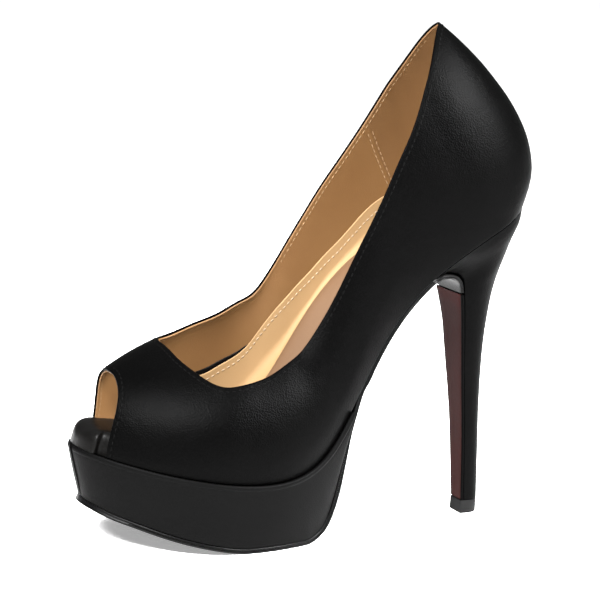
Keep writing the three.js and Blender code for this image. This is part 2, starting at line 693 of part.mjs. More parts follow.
// Flap of sole leather down the front of the heel
const breastRows = BREAST.at.map((_, k) => k)
const breastX = curve(breastRows, BREAST.at.map(station))
const FLAP_LIFT = 0.294
const breastZ = curve(breastRows, BREAST.height.map((v, k) => (k ? v * HEEL_HEIGHT : TIP_TOP + FLAP_LIFT)))
const breastHalf = curve(breastRows, BREAST.half.map(v => v * BALL_WIDTH))
const FLAP_ACROSS = [-1, -0.5, 0, 0.5, 1]
const breastCover = loft(shares(14).map(t => {
  const row = t * (BREAST.at.length - 1)
  const face = depth => across => [breastX(row) - depth, across * breastHalf(row), breastZ(row)]
  return [...FLAP_ACROSS.map(face(0)), ...FLAP_ACROSS.slice().reverse().map(face(FLAP_THICK))]
}))

// Top piece: the rubber tip, flat underneath
const TIP_FRONT = 5
const TIP_BACK = -4.9
const TIP_HALF = 4.9
const topPiece = loft([[0, 0.25], [0.5, 0], [TIP_HEIGHT, 0]].map(([z, drawn]) => {
  const half = heelProfile(TIP_HALF - drawn, TIP_HALF + 0.15 - drawn, 0.3)
  return bothSides(half, ([t, y], side) => [mix(TIP_FRONT - drawn, TIP_BACK + drawn, t), side * y, z])
}))

const group = new THREE.Group()
group.name = 'peep_toe_pump'
group.add(
  piece('upper', thicken(upperSkin(), WALL), { color: BLACK, roughness: 0.45 }),
  piece('insole', insole, { color: BLACK, roughness: 0.5 }),
  piece('sock', sock, { color: TAN, roughness: 0.6 }),
  piece('platform', platform, { color: BLACK, roughness: 0.5 }),
  piece('outsole', outsole, { color: BLACK, roughness: 0.4 }),
  piece('heel', heel, { color: BLACK, roughness: 0.5 }),
  piece('breast_cover', breastCover, { color: BROWN, roughness: 0.4 }),
  piece('top_piece', topPiece, { color: BLACK, roughness: 0.7 }),
)
export default group
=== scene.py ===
"""Peep toe pump, left shoe: the looks of each piece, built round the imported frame.
X forward to the toe, Y to the wearer's left (outer side), Z up; worked out in millimetres, made in
metres."""
import math
import bpy
import numpy as np
from mathutils import Matrix


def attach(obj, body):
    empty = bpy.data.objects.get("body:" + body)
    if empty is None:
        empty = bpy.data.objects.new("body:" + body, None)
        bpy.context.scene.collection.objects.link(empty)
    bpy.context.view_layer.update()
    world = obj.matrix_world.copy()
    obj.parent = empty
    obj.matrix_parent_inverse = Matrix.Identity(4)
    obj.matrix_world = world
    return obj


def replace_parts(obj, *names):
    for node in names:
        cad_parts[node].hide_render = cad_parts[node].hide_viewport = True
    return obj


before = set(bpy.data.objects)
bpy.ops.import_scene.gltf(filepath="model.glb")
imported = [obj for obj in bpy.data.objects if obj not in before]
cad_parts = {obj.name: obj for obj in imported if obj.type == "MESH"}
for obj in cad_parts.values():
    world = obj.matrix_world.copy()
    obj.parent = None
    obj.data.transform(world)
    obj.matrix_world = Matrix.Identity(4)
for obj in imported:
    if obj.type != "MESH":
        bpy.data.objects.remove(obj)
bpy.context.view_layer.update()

MM = 0.001

# Named sizes, as in the solids
LENGTH = 201
BACK_X = -16
BALL_WIDTH = 73
HEEL_HEIGHT = 140
INSTEP = 61
BACK_HEIGHT = 88
BACK_REACH = 25.5
WALL = 1.8
GAP = 0.3
SOCK_THICK = 1.2
SOCK_GAP = 0.4
SOLE_THICK = 2.3
FLAP_THICK = 1.2
TIP_HEIGHT = 6
HEEL_CENTRE = 8
HEEL_TURN = 24
TOE_CENTRE = 130
TOE_END = BACK_X + LENGTH
TOE_SWING = 6
SWELL_SHARE = 0.16
INSOLE_INSET = WALL + GAP + 0.25
LIP = 1.2
TOE_INSET = -0.6
SOCK_FRONT = 134
SOCK_NOSE = 22
SOCK_SHARE = 0.93
SOLE_INSET = 2.4
ARCH_INSET = 1.2
ARCH_SWAY = 10
ARCH_START = 36.5
ARCH_END = 69.5
SEAT_FRONT = 35.6
SEAT_INSET = 0.3
TIP_FRONT = 5
TIP_BACK = -4.9
TIP_HALF = 4.9

# Looks only
FOLD = 1.1             # thickness of the leather folded over at the rims
STITCH_DROP = 2.3      # from a rim down to its stitches
LINING_SEAM = 21.5     # station of the seam where the heel part of the lining starts
SEAM_TOP = 0.41        # height share of its upper end

OUTER = 1
INNER = -1


def table(names, rows):
    return {name: np.array([row[k] for row in rows]) for k, name in enumerate(names)}


# Bottom line of the foot form: station along the length, height over the floor
BOTTOM = table(["at", "height"], [
    [0.1194, 0.9386],
    [0.194, 0.87],
    [0.2637, 0.7914],
    [0.3284, 0.69],
    [0.3781, 0.5786],
    [0.4179, 0.4679],
    [0.4577, 0.3679],
    [0.4975, 0.2943],
    [0.5373, 0.25],
    [0.5771, 0.2271],
    [0.6368, 0.2143],
    [0.7065, 0.2164],
    [0.7861, 0.23],
    [0.8607, 0.2471],
    [0.9303, 0.2671],
    [1.01, 0.2929],
])

# Bottom outline, before the toe is rounded off: half widths on the two sides
OUTLINE = table(["at", "outer", "inner"], [
    [0.1194, 0.3699, 0.3699],
    [0.194, 0.363, 0.3562],
    [0.2786, 0.337, 0.3205],
    [0.3284, 0.3288, 0.2945],
    [0.3781, 0.3288, 0.2808],
    [0.4179, 0.3397, 0.2877],
    [0.4577, 0.3644, 0.3096],
    [0.4975, 0.4014, 0.3507],
    [0.5373, 0.4384, 0.4],
    [0.5771, 0.4712, 0.4411],
    [0.6368, 0.5014, 0.4767],
    [0.7065, 0.5068, 0.4932],
    [0.7761, 0.5014, 0.4959],
    [1, 0.4932, 0.4959],
])

# Sections of the foot form: how far each side swells past the bottom, height of the widest
# point, height of the ridge, fullness, lean in degrees, ridge shift to the inner side and
# how much the inner edge is raised under the arch
SECTIONS = table(["at", "swellOuter", "swellInner", "wide", "ridge", "full", "lean", "shift", "arch"], [
    [0.1194, 0.0205, 0.0205, 0.3279, 1.4426, 2, 30, 0, 0],
    [0.194, 0.0205, 0.0205, 0.3279, 1.4754, 2, 29, 0, 0.0262],
    [0.2637, 0.0274, 0.0205, 0.3115, 1.5082, 2, 27, 0.0137, 0.0754],
    [0.3284, 0.0384, 0.0274, 0.2951, 1.4754, 2, 24, 0.0411, 0.1246],
    [0.3781, 0.0466, 0.0342, 0.2787, 1.4098, 2, 20, 0.0685, 0.1541],
    [0.4179, 0.0493, 0.0384, 0.2623, 1.3443, 2, 16.5, 0.0959, 0.1639],
    [0.4577, 0.0466, 0.0384, 0.2459, 1.2787, 2, 13, 0.1233, 0.1541],
    [0.4975, 0.0411, 0.0342, 0.2295, 1.2131, 2, 10, 0.1438, 0.1279],
    [0.5373, 0.0356, 0.0301, 0.2131, 1.1525, 2, 7.5, 0.1575, 0.0885],
    [0.5771, 0.0301, 0.0247, 0.1967, 1.1344, 2, 5.5, 0.1644, 0.0492],
    [0.6368, 0.0247, 0.0205, 0.1803, 1.0738, 2, 3, 0.1644, 0.0164],
    [0.7065, 0.0205, 0.0164, 0.1639, 0.9984, 2.05, 0, 0.1644, 0.0033],
    [0.7861, 0.0164, 0.0137, 0.1311, 0.8754, 2.1, -4, 0.1575, 0],
    [0.8607, 0.0137, 0.011, 0.0984, 0.7607, 2.15, -8, 0.1438, 0],
    [0.9303, 0.011, 0.0082, 0.082, 0.6279, 2.2, -12, 0.1233, 0],
    [0.9751, 0.0082, 0.0068, 0.0656, 0.5164, 2.2, -14, 0.1096, 0],
    [1.01, 0.0068, 0.0068, 0.0492, 0.4098, 2.2, -15, 0.0959, 0],
])

# Back of the heel: level up the counter, reach behind the heel centre
COUNTER = table(["level", "reach"], [
    [0, 1],
    [0.0682, 1.3059],
    [0.1591, 1.498],
    [0.2727, 1.5882],
    [0.3864, 1.5922],
    [0.4886, 1.5529],
    [0.5909, 1.4784],
    [0.6932, 1.3882],
    [0.7955, 1.2706],
    [0.8977, 1.1333],
    [1, 0.9725],
])

# Collar: one row per seam line from the throat round to the back; where it starts on the bottom
# line, and where it meets the collar on the outer and on the inner side
COLLAR = table(["bottom", "outerAt", "outerUp", "innerAt", "innerUp"], [
    [0.8259, 0.8393, 1, 0.8393, 1],
    [0.8085, 0.8378, 0.91, 0.8323, 0.935],
    [0.7861, 0.8343, 0.82, 0.8184, 0.865],
    [0.7612, 0.8254, 0.73, 0.7975, 0.8],
    [0.7313, 0.807, 0.645, 0.7687, 0.765],
    [0.6965, 0.7821, 0.568, 0.7313, 0.752],
    [0.6567, 0.7488, 0.515, 0.6891, 0.755],
    [0.6169, 0.7065, 0.5, 0.6443, 0.762],
    [0.5721, 0.6567, 0.503, 0.597, 0.766],
    [0.5274, 0.602, 0.509, 0.5498, 0.76],
    [0.4826, 0.5473, 0.512, 0.505, 0.715],
    [0.4403, 0.495, 0.492, 0.4627, 0.642],
    [0.398, 0.4428, 0.443, 0.4199, 0.548],
    [0.3582, 0.3925, 0.391, 0.3756, 0.46],
    [0.3134, 0.3423, 0.362, 0.3284, 0.415],
    [0.2687, 0.291, 0.373, 0.2786, 0.408],
    [0.2214, 0.2388, 0.42, 0.2289, 0.432],
    [0.1741, 0.1861, 0.487, 0.1791, 0.482],
    [0.1294, 0.1318, 0.588, 0.1294, 0.556],
    [0.0871, 0.0831, 0.7, 0.0821, 0.645],
    [0.0448, 0.0398, 0.79, 0.0398, 0.743],
    [0.005, 0, 0.85, 0, 0.825],
    [-0.0323, -0.0348, 0.872, -0.0348, 0.865],
    [-0.0682, -0.0682, 0.878, -0.0682, 0.878],
])

# Peep edge: station of the cut at each height share, outer and inner side
PEEP = table(["up", "outer", "inner"], [
    [0, 0.9677, 0.9204],
    [0.1, 0.9692, 0.9224],
    [0.27, 0.9706, 0.9323],
    [0.475, 0.9672, 0.9498],
    [0.613, 0.9642, 0.9587],
    [0.76, 0.9637, 0.9632],
    [1, 0.9667, 0.9667],
])

# Insole: thickness, and how much its inner edge is cupped
BED = table(["at", "thick", "cup"], [
    [0, 0.0721, 0],
    [0.1194, 0.0738, 0.0066],
    [0.2289, 0.082, 0.0328],
    [0.3284, 0.1016, 0.0656],
    [0.403, 0.1148, 0.082],
    [0.4776, 0.1311, 0.082],
    [0.5522, 0.1475, 0.0721],
    [0.6269, 0.1607, 0.0525],
    [0.7264, 0.1705, 0.0295],
    [0.8259, 0.177, 0.0098],
    [0.9254, 0.1803, 0],
    [1, 0.1803, 0],
])

# Heel: front line, its half width, back line, widest half width and where along it lies
HEEL = table(["frontAt", "frontHeight", "frontHalf", "backAt", "backHeight", "half", "wideAt"], [
    [0.097, 0.045, 0.0644, 0.0552, 0.045, 0.0685, 0.3],
    [0.1075, 0.2429, 0.0808, 0.0637, 0.2571, 0.0877, 0.32],
    [0.1169, 0.3786, 0.0932, 0.0687, 0.4071, 0.1041, 0.34],
    [0.1279, 0.5114, 0.1123, 0.0697, 0.55, 0.1288, 0.36],
    [0.1353, 0.6093, 0.1274, 0.0657, 0.6571, 0.1548, 0.38],
    [0.1428, 0.6757, 0.1452, 0.0602, 0.7357, 0.1836, 0.4],
    [0.1498, 0.7257, 0.163, 0.0532, 0.7964, 0.2164, 0.43],
    [0.1537, 0.7521, 0.1699, 0.0458, 0.8536, 0.2521, 0.46],
    [0.1607, 0.7771, 0.1822, 0.0368, 0.9071, 0.2849, 0.48],
    [0.1761, 0.795, 0.2055, 0.0264, 0.9536, 0.3151, 0.5],
    [0.2, 0.805, 0.2411, 0.0159, 0.9871, 0.3425, 0.52],
    [0.2279, 0.8086, 0.2849, 0.0119, 1.0114, 0.3589, 0.54],
])

# Sole: underside from the back of the platform to the toe, and the station of the bottom line
# that the platform reaches up to from there
SOLE = table(["at", "height", "over"], [
    [0.4323, 0.3393, 0.4438],
    [0.4363, 0.3079, 0.4478],
    [0.4433, 0.2457, 0.4547],
    [0.4507, 0.1836, 0.4647],
    [0.4607, 0.1236, 0.4786],
    [0.4756, 0.0657, 0.4975],
    [0.4965, 0.0271, 0.5199],
    [0.5249, 0.005, 0.5473],
    [0.5572, 0, 0.5771],
    [0.6169, 0, 0.6269],
    [0.6866, 0, 0.6891],
    [0.7413, 0.01, 0.7488],
    [0.801, 0.0279, 0.8109],
    [0.8607, 0.0507, 0.8706],
    [0.9154, 0.0757, 0.9244],
    [0.9483, 0.09, 0.9572],
    [0.9716, 0.1036, 0.9831],
    [0.9841, 0.1114, 0.9958],
    [0.9879, 0.1139, 0.9999],
])

# Sole: underside where it turns from the arch into the heel front
TURN = table(["at", "height", "half"], [
    [0.1582, 0.7307, 0.1658],
    [0.1612, 0.7486, 0.1699],
    [0.1682, 0.7664, 0.1795],
    [0.1816, 0.7786, 0.2],
    [0.2015, 0.785, 0.2356],
    [0.2264, 0.7871, 0.2795],
])

# Heel front: face of the flap, from the tip up
BREAST = table(["at", "height", "half"], [
    [0.105, 0.0471, 0.0671],
    [0.1149, 0.2429, 0.0822],
    [0.1244, 0.3786, 0.0945],
    [0.1353, 0.5114, 0.1151],
    [0.1428, 0.6093, 0.1288],
    [0.1502, 0.6757, 0.1479],
    [0.1572, 0.725, 0.1644],
])


def natural(xs, ys):
    """Natural cubic spline through (xs, ys), held level outside them: the second slopes m solve
    h0 m0 + 2 (h0 + h1) m1 + h1 m2 = 6 (rise1 / h1 - rise0 / h0), with none at the two ends."""
    xs = np.asarray(xs, float)
    ys = np.asarray(ys, float)
    count = len(xs)
    gaps = np.diff(xs)
    wide = (-1,) + (1,) * (ys.ndim - 1)
    rises = np.diff(ys, axis=0) / gaps.reshape(wide)
    rows = np.eye(count)
    inner = np.arange(1, count - 1)
    rows[inner, inner - 1] = gaps[:-1]
    rows[inner, inner] = 2 * (gaps[:-1] + gaps[1:])
    rows[inner, inner + 1] = gaps[1:]
    right = np.zeros_like(ys)
    right[inner] = 6 * (rises[1:] - rises[:-1])
    slopes = np.linalg.solve(rows, right.reshape(count, -1)).reshape(ys.shape)

    def at(x):
        x = np.clip(np.asarray(x, float), xs[0], xs[-1])
        i = np.clip(np.searchsorted(xs, x, side="right") - 1, 0, count - 2)
        width = gaps[i]
        a = (xs[i + 1] - x) / width
        b = 1 - a
        more = (slice(None),) * x.ndim + (None,) * (ys.ndim - 1)
        a, b, width = a[more], b[more], width[more]
        cubic = ((a**3 - a) * slopes[i] + (b**3 - b) * slopes[i + 1]) * width**2 / 6
        return a * ys[i] + b * ys[i + 1] + cubic

    return at


def station(share):
    return BACK_X + share * LENGTH


def along(columns, name, size):
    return natural(station(columns["at"]), columns[name] * size)


def by_row(values):
    return natural(np.arange(len(values)), values)


def mix(a, b, t):
    return a + (b - a) * t


def ease(t):
    t = np.clip(t, 0, 1)
    return t * t * (3 - 2 * t)


bottom_line = along(BOTTOM, "height", HEEL_HEIGHT)
half_of = {OUTER: along(OUTLINE, "outer", BALL_WIDTH), INNER: along(OUTLINE, "inner", BALL_WIDTH)}
swell_of = {
    OUTER: along(SECTIONS, "swellOuter", BALL_WIDTH),
    INNER: along(SECTIONS, "swellInner", BALL_WIDTH),
}
wide_height = along(SECTIONS, "wide", INSTEP)
ridge_height = along(SECTIONS, "ridge", INSTEP)
fullness = along(SECTIONS, "full", 1)
lean_angle = along(SECTIONS, "lean", math.pi / 180)
ridge_shift = along(SECTIONS, "shift", -BALL_WIDTH)
arch_raise = along(SECTIONS, "arch", INSTEP)
bed_thick = along(BED, "thick", INSTEP)
bed_cup = along(BED, "cup", INSTEP)
counter_reach = natural(COUNTER["level"] * BACK_HEIGHT, COUNTER["reach"] * BACK_REACH)
SEAT_LEAN = float(lean_angle(HEEL_CENTRE))


def turn_share(at):
    return np.sin(np.clip((HEEL_CENTRE - at) / HEEL_TURN, 0, math.pi / 2))


def toe_round(at, inset):
    """Superellipse that rounds off the toe: (1 - s^2.05)^(1 / 2.05) with s from its centre to its end."""
    share = np.clip((at - TOE_CENTRE) / (TOE_END - inset - TOE_CENTRE), 0, 1)
    return share, np.maximum(1 - share**2.05, 0) ** (1 / 2.05)


def edge(at, side, inset):
    """Bottom outline across the shoe, drawn in by the inset, with the toe end swung to the inner side."""
    share, round_off = toe_round(at, inset)
    swing = -TOE_SWING * share * share * (3 - 2 * share)
    return swing + side * (half_of[side](at) - inset) * round_off


def bottom_normal(at):
    """Direction square to the bottom line in the side view."""
    x = np.maximum(at, HEEL_CENTRE)
    slope = (bottom_line(x + 0.4) - bottom_line(x - 0.4)) / 0.8
    slope = np.where(x < HEEL_CENTRE + 0.5, -math.tan(SEAT_LEAN), slope)
    size = np.hypot(1, slope)
    return -slope / size, 1 / size


def over_bottom(at, across, height, inset):
    """Point over the bottom surface: across from -1 inner to 1 outer, lifted square to the bottom."""
    values = [np.asarray(value, float) for value in (at, across, height, inset)]
    at, across, height, inset = np.broadcast_arrays(*values)
    x = np.maximum(at, HEEL_CENTRE)
    turn = turn_share(at)
    nx, nz = bottom_normal(at)
    reach = turn * (BACK_REACH - inset)
    y = mix(edge(x, INNER, inset), edge(x, OUTER, inset), (1 + across) / 2)
    y = y * np.sqrt(np.maximum(1 - turn * turn, 0))
    lift = height + arch_raise(x) * (1 - across) / 2
    px = x - math.cos(SEAT_LEAN) * reach + nx * lift
    pz = bottom_line(x) + math.sin(SEAT_LEAN) * reach + nz * lift
    return np.stack([px, y, pz], -1)


def on_form(at, up, side):
    """Foot form: below SWELL_SHARE a section swells out to its widest, above it a superellipse closes to
    the ridge; the sections lean back, and wrap round the heel behind its centre."""
    at, up = np.broadcast_arrays(np.asarray(at, float), np.asarray(up, float))
    x = np.maximum(at, HEEL_CENTRE)
    turn = turn_share(at)
    ridge = ridge_height(x)
    wide = wide_height(x)
    power = 2 / fullness(x)
    angle = np.clip((up - SWELL_SHARE) / (1 - SWELL_SHARE), 0, 1) * math.pi / 2
    under = np.clip(1 - up / SWELL_SHARE, 0, 1)
    low = up < SWELL_SHARE
    height = np.where(low, wide * up / SWELL_SHARE, wide + (ridge - wide) * np.sin(angle) ** power)
    narrow = np.where(low, 1, np.maximum(np.cos(angle), 0) ** power)
    half = np.abs(edge(x, side, 0)) + swell_of[side](x) * (1 - under * under)
    rise = height / ridge
    centre = ridge_shift(x) * rise * rise * (3 - 2 * rise) * (1 - narrow * narrow)
    lean = lean_angle(x)
    reach = turn * counter_reach(height)
    arch = arch_raise(x) * (1 - rise) ** 2 if side == INNER else 0
    nx, nz = bottom_normal(at)
    px = x + height * np.sin(lean) - math.cos(SEAT_LEAN) * reach + nx * arch
    py = (centre + side * half * narrow) * np.sqrt(np.maximum(1 - turn * turn, 0))
    pz = bottom_line(x) + height * np.cos(lean) + math.sin(SEAT_LEAN) * reach + nz * arch
    return np.stack([px, py, pz], -1)


# Meshes


def unit(v):
    return v / np.maximum(np.linalg.norm(v, axis=-1, keepdims=True), 1e-9)


def together(*parts):
    """The parts as the coordinates of one array of points."""
    return np.stack(np.broadcast_arrays(*parts), -1)


def grid_faces(rows, columns, start, around=False):
    """Quads of a grid of points numbered row by row; around also joins the last column to the first."""
    i = np.arange(rows - 1)[:, None]
    j = np.arange(columns if around else columns - 1)[None, :]
    k = (j + 1) % columns
    corners = [i * columns + j, i * columns + k, (i + 1) * columns + k, (i + 1) * columns + j]
    return start + np.stack(np.broadcast_arrays(*corners), -1).reshape(-1, 4)


def outward(points, faces):
    """The faces, turned if the body they close would have a negative volume."""
    a, b, c, d = (points[faces[:, k]] for k in range(4))
    volume = np.sum(a * np.cross(b, c)) + np.sum(a * np.cross(c, d))
    return faces if volume > 0 else faces[:, ::-1]


def loft(rings):
    """Closed body through rings; both ends are closed by strips from point i to point n - 1 - i."""
    count, size = rings.shape[:2]
    faces = [grid_faces(count, size, 0, around=True)]
    i = np.arange(size // 2 - 1)
    strip = np.stack([i, i + 1, size - 2 - i, size - 1 - i], -1)
    faces.append(strip[:, ::-1])
    faces.append(strip + (count - 1) * size)
    points = rings.reshape(-1, 3)
    return points, outward(points, np.concatenate(faces))


def refine(rings, times):
    """More rings, on a natural spline through each point of the given ones."""
    count = len(rings)
    return by_row(rings)(np.linspace(0, count - 1, (count - 1) * times + 1))


def weld(points, faces, marks):
    """One point where several lie within a hundredth of a millimetre."""
    keys = np.round(points * 100).astype(np.int64)
    _, first, place = np.unique(keys, axis=0, return_index=True, return_inverse=True)
    return points[first], place.reshape(-1)[faces], marks[first]


def corner_normals(points, faces):
    a, b, c, d = (points[faces[:, k]] for k in range(4))
    cross = np.cross(c - a, d - b)
    normals = np.zeros_like(points)
    for k in range(4):
        np.add.at(normals, faces[:, k], cross)
    return unit(normals)


def walled(points, faces, marks, outside, inside, roll, back_off=0.0, steps=8):
    """Closed shell between two offsets of an open skin, its rims rolled over a half ellipse: along the
    normal mid + half cos t, along the way out roll sin t, with t from 0 to pi."""
    count = len(points)
    normals = corner_normals(points, faces)
    edges = np.concatenate([faces[:, [k, (k + 1) % 4]] for k in range(4)])
    keys = edges[:, 0] * count + edges[:, 1]
    rim = edges[~np.isin(keys, edges[:, 1] * count + edges[:, 0])]
    out = np.zeros_like(points)
    way = points[rim[:, 1]] - points[rim[:, 0]]
    for k in (0, 1):
        np.add.at(out, rim[:, k], np.cross(unit(way), normals[rim[:, k]]))
    out = unit(out)
    ring = np.unique(rim)
    points = points.copy()
    points[ring] -= out[ring] * (roll + back_off)
    layers = [points + normals * outside, points + normals * inside]
    place = np.zeros(count, int)
    place[ring] = np.arange(len(ring))
    start = 2 * count
    level = [rim]
    angles = np.linspace(0, math.pi, steps + 1)[1:-1]
    for angle in angles:
        lift = (outside + inside) / 2 + (outside - inside) / 2 * math.cos(angle)
        layers.append(points[ring] + normals[ring] * lift + out[ring] * roll * math.sin(angle))
        level.append(place[rim] + start)
        start += len(ring)
    level.append(rim + count)
    parts = [faces, faces[:, ::-1] + count]
    for low, high in zip(level[:-1], level[1:]):
        parts.append(np.stack([low[:, 1], low[:, 0], high[:, 0], high[:, 1]], -1))
    all_marks = np.concatenate([marks, marks, *[marks[ring]] * len(angles)])
    return np.concatenate(layers), np.concatenate(parts), all_marks


def make(name, points, faces, finish, slot, marks=None, sharp=40):
    """The mesh object of a piece; marks are kept as its UV map."""
    mesh = bpy.data.meshes.new(name)
    mesh.from_pydata((points * MM).tolist(), [], faces.tolist())
    mesh.validate()
    mesh.polygons.foreach_set("use_smooth", np.ones(len(mesh.polygons), bool))
    mesh.set_sharp_from_angle(angle=math.radians(sharp))
    if marks is not None:
        corner = np.zeros(len(mesh.loops), np.int32)
        mesh.loops.foreach_get("vertex_index", corner)
        layer = mesh.uv_layers.new(name="place")
        layer.data.foreach_set("uv", marks[corner].astype(np.float32).reshape(-1))
    mesh.materials.append(finish)
    piece = bpy.data.objects.new(name, mesh)
    bpy.context.scene.collection.objects.link(piece)
    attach(piece, "root")
    return piece


# Upper

collar_bottom = by_row(station(COLLAR["bottom"]))
collar_at = {OUTER: by_row(station(COLLAR["outerAt"])), INNER: by_row(station(COLLAR["innerAt"]))}
collar_up = {OUTER: by_row(COLLAR["outerUp"]), INNER: by_row(COLLAR["innerUp"])}
peep_at = {
    OUTER: natural(PEEP["up"], station(PEEP["outer"])),
    INNER: natural(PEEP["up"], station(PEEP["inner"])),
}
LAST_ROW = len(COLLAR["bottom"]) - 1
THROAT_ROW = 4


def seam(row, up, side):
    """Station and height share of a point on the seam line of a collar row."""
    return mix(collar_bottom(row), collar_at[side](row), up), collar_up[side](row) * up


def upper_skin(vamp_columns=40, throat_rows=24, quarter_columns=150, rows=40):
    """Open skin of the upper: the vamp from the peep edge back to the throat, then the quarters."""
    points, faces, marks = [], [], []
    start = 0
    up = np.linspace(0, 1, rows + 1)
    top_row = THROAT_ROW * (1 - np.linspace(0, 1, throat_rows + 1)[1:])
    for side in (OUTER, INNER):
        low_at, low_up = seam(THROAT_ROW, up, side)
        top_at, top_up = seam(top_row, 1.0, side)
        back_at = np.concatenate([low_at, top_at])
        back_up = np.concatenate([low_up, top_up])
        share = np.linspace(0, 1, vamp_columns + 1)[:, None]
        vamp_at = mix(peep_at[side](back_up), back_at, share)
        vamp_up = np.broadcast_to(back_up, vamp_at.shape)
        row = mix(THROAT_ROW, LAST_ROW, np.linspace(0, 1, quarter_columns + 1))[:, None]
        quarter_at, quarter_up = seam(row, up[None, :], side)
        for at, height in ((vamp_at, vamp_up), (quarter_at, quarter_up)):
            grid = on_form(at, height, side)
            quads = grid_faces(*at.shape, start)
            normals = corner_normals(grid.reshape(-1, 3), quads - start)
            if np.mean(normals[:, 1]) * side < 0:
                quads = quads[:, ::-1]
            points.append(grid.reshape(-1, 3))
            faces.append(quads)
            marks.append(np.stack([(at - BACK_X) / LENGTH, height * side], -1).reshape(-1, 2))
            start += at.size
    return weld(np.concatenate(points), np.concatenate(faces), np.concatenate(marks))


def edge_line(at, up, side, drop, lift, away):
    """Line that runs drop mm inside an edge of the form and lift mm over it, where away points out
    over the edge."""
    here = on_form(at, up, side)
    step = 0.01
    low = on_form(at, up - step, side)
    fore = on_form(at + 0.5, up - step, side)
    normal = unit(np.cross(here - low, fore - low))
    normal = normal * np.sign(normal[:, 1:2] * side + 1e-9)
    way = unit(np.gradient(here, axis=0))
    out = unit(np.cross(way, normal))
    out = out * np.sign(np.sum(out * away, axis=-1, keepdims=True))
    return here - out * drop + normal * lift, normal


def collar_line(drop, lift, side):
    """Line along the collar of one side, from the ridge at the throat to the back."""
    row = np.linspace(0.02, LAST_ROW, 400)
    at, up = seam(row, 1.0, side)
    return edge_line(at, up, side, drop, lift, np.array([0.3, 0, 0.95]))


def peep_line(drop, lift, side):
    """Line along the peep edge of one side, from the sole to the ridge."""
    up = np.linspace(0.02, 0.985, 160)
    return edge_line(peep_at[side](up), up, side, drop, lift, np.array([1.0, 0, 0]))


def stitches(name, lines, pitch, length, radius, finish, flat=0.6):
    """Thread that shows along lines: every pitch mm one bead a cos p, b sin p cos q, c sin p sin q with
    its length along the line."""
    p = np.linspace(0, math.pi, 7)[1:-1]
    q = np.linspace(0, 2 * math.pi, 9)[:-1]
    wide = np.sin(p)[:, None]
    ring = together(np.cos(p)[:, None], wide * np.cos(q), wide * np.sin(q))
    bead = np.concatenate([ring.reshape(-1, 3), [[1, 0, 0], [-1, 0, 0]]])
    bead = bead * [length / 2, radius, radius * flat]
    body = grid_faces(len(p), len(q), 0, around=True)
    j = np.arange(len(q))
    k = (j + 1) % len(q)
    last = (len(p) - 1) * len(q)
    first_pole, last_pole = ring.size // 3, ring.size // 3 + 1
    caps = [np.stack([k, j, 0 * j + first_pole, 0 * j + first_pole], -1)]
    caps.append(np.stack([last + j, last + k, 0 * j + last_pole, 0 * j + last_pole], -1))
    points, quads, triangles, start = [], [], [], 0
    for line, normal in lines:
        run = np.concatenate([[0], np.cumsum(np.linalg.norm(np.diff(line, axis=0), axis=1))])
        middle = np.arange(pitch / 2, run[-1], pitch)
        place = np.stack([np.interp(middle, run, line[:, c]) for c in range(3)], -1)
        over = unit(np.stack([np.interp(middle, run, normal[:, c]) for c in range(3)], -1))
        fore = np.stack([np.interp(middle + 0.4, run, line[:, c]) for c in range(3)], -1)
        back = np.stack([np.interp(middle - 0.4, run, line[:, c]) for c in range(3)], -1)
        way = unit(fore - back)
        wide = unit(np.cross(over, way))
        over = np.cross(way, wide)
        frames = np.stack([way, wide, over], 1)
        made = place[:, None, :] + np.einsum("pc,ncx->npx", bead, frames)
        shift = start + np.arange(len(middle))[:, None, None] * len(bead)
        quads.append((body[None] + shift).reshape(-1, 4))
        triangles.append((np.concatenate(caps)[None, :, :3] + shift).reshape(-1, 3))
        points.append(made.reshape(-1, 3))
        start += made.shape[0] * made.shape[1]
    mesh = bpy.data.meshes.new(name)
    faces = np.concatenate(quads).tolist() + np.concatenate(triangles).tolist()
    mesh.from_pydata((np.concatenate(points) * MM).tolist(), [], faces)
    mesh.polygons.foreach_set("use_smooth", np.ones(len(mesh.polygons), bool))
    mesh.materials.append(finish)
    piece = bpy.data.objects.new(name, mesh)
    bpy.context.scene.collection.objects.link(piece)
    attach(piece, "root")
    return piece


def make_upper(leather, lining, black_thread, tan_thread):
    points, faces, marks = upper_skin()
    shell = walled(points, faces, marks, 0.0, -FOLD, 0.55)
    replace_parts(make("upper_leather", *shell[:2], leather, "upper_leather", shell[2], 60), "upper")
    inside = walled(points, faces, marks, -FOLD - 0.02, -WALL, 0.25, 0.35)
    make("upper_lining", *inside[:2], lining, "sock_leather", inside[2], 60)
    edges = [(line, side) for line in (collar_line, peep_line) for side in (OUTER, INNER)]
    rims = [line(STITCH_DROP, 0.0, side) for line, side in edges]
    stitches("rim_stitches", rims, 2.7, 2.0, 0.3, black_thread)
    insides = [line(STITCH_DROP, -WALL, side) for line, side in edges]
    insides = [(line, -normal) for line, normal in insides]
    up = np.linspace(0.1, 1, 90)
    for side in (OUTER, INNER):
        for beside in (-1.1, 1.1):
            at = LINING_SEAM + beside + 0 * up
            line = edge_line(at, up * SEAM_TOP, side, 0.0, -WALL, np.array([1.0, 0, 0]))
            insides.append((line[0], -line[1]))
    stitches("lining_stitches", insides, 2.7, 2.0, 0.26, tan_thread)


# Insole and sock

PEEP_OUTER = station(PEEP["outer"][0]) + 0.4
PEEP_INNER = station(PEEP["inner"][0]) + 0.4
BACK_STATION = HEEL_CENTRE - HEEL_TURN * math.pi / 2 + 1.2


def insole_inset(at, across):
    """In front of the peep edge the insole fills out to the rim of the platform."""
    free = ease((at - mix(PEEP_INNER, PEEP_OUTER, (1 + across) / 2)) / 4)
    return mix(INSOLE_INSET, TOE_INSET, free)


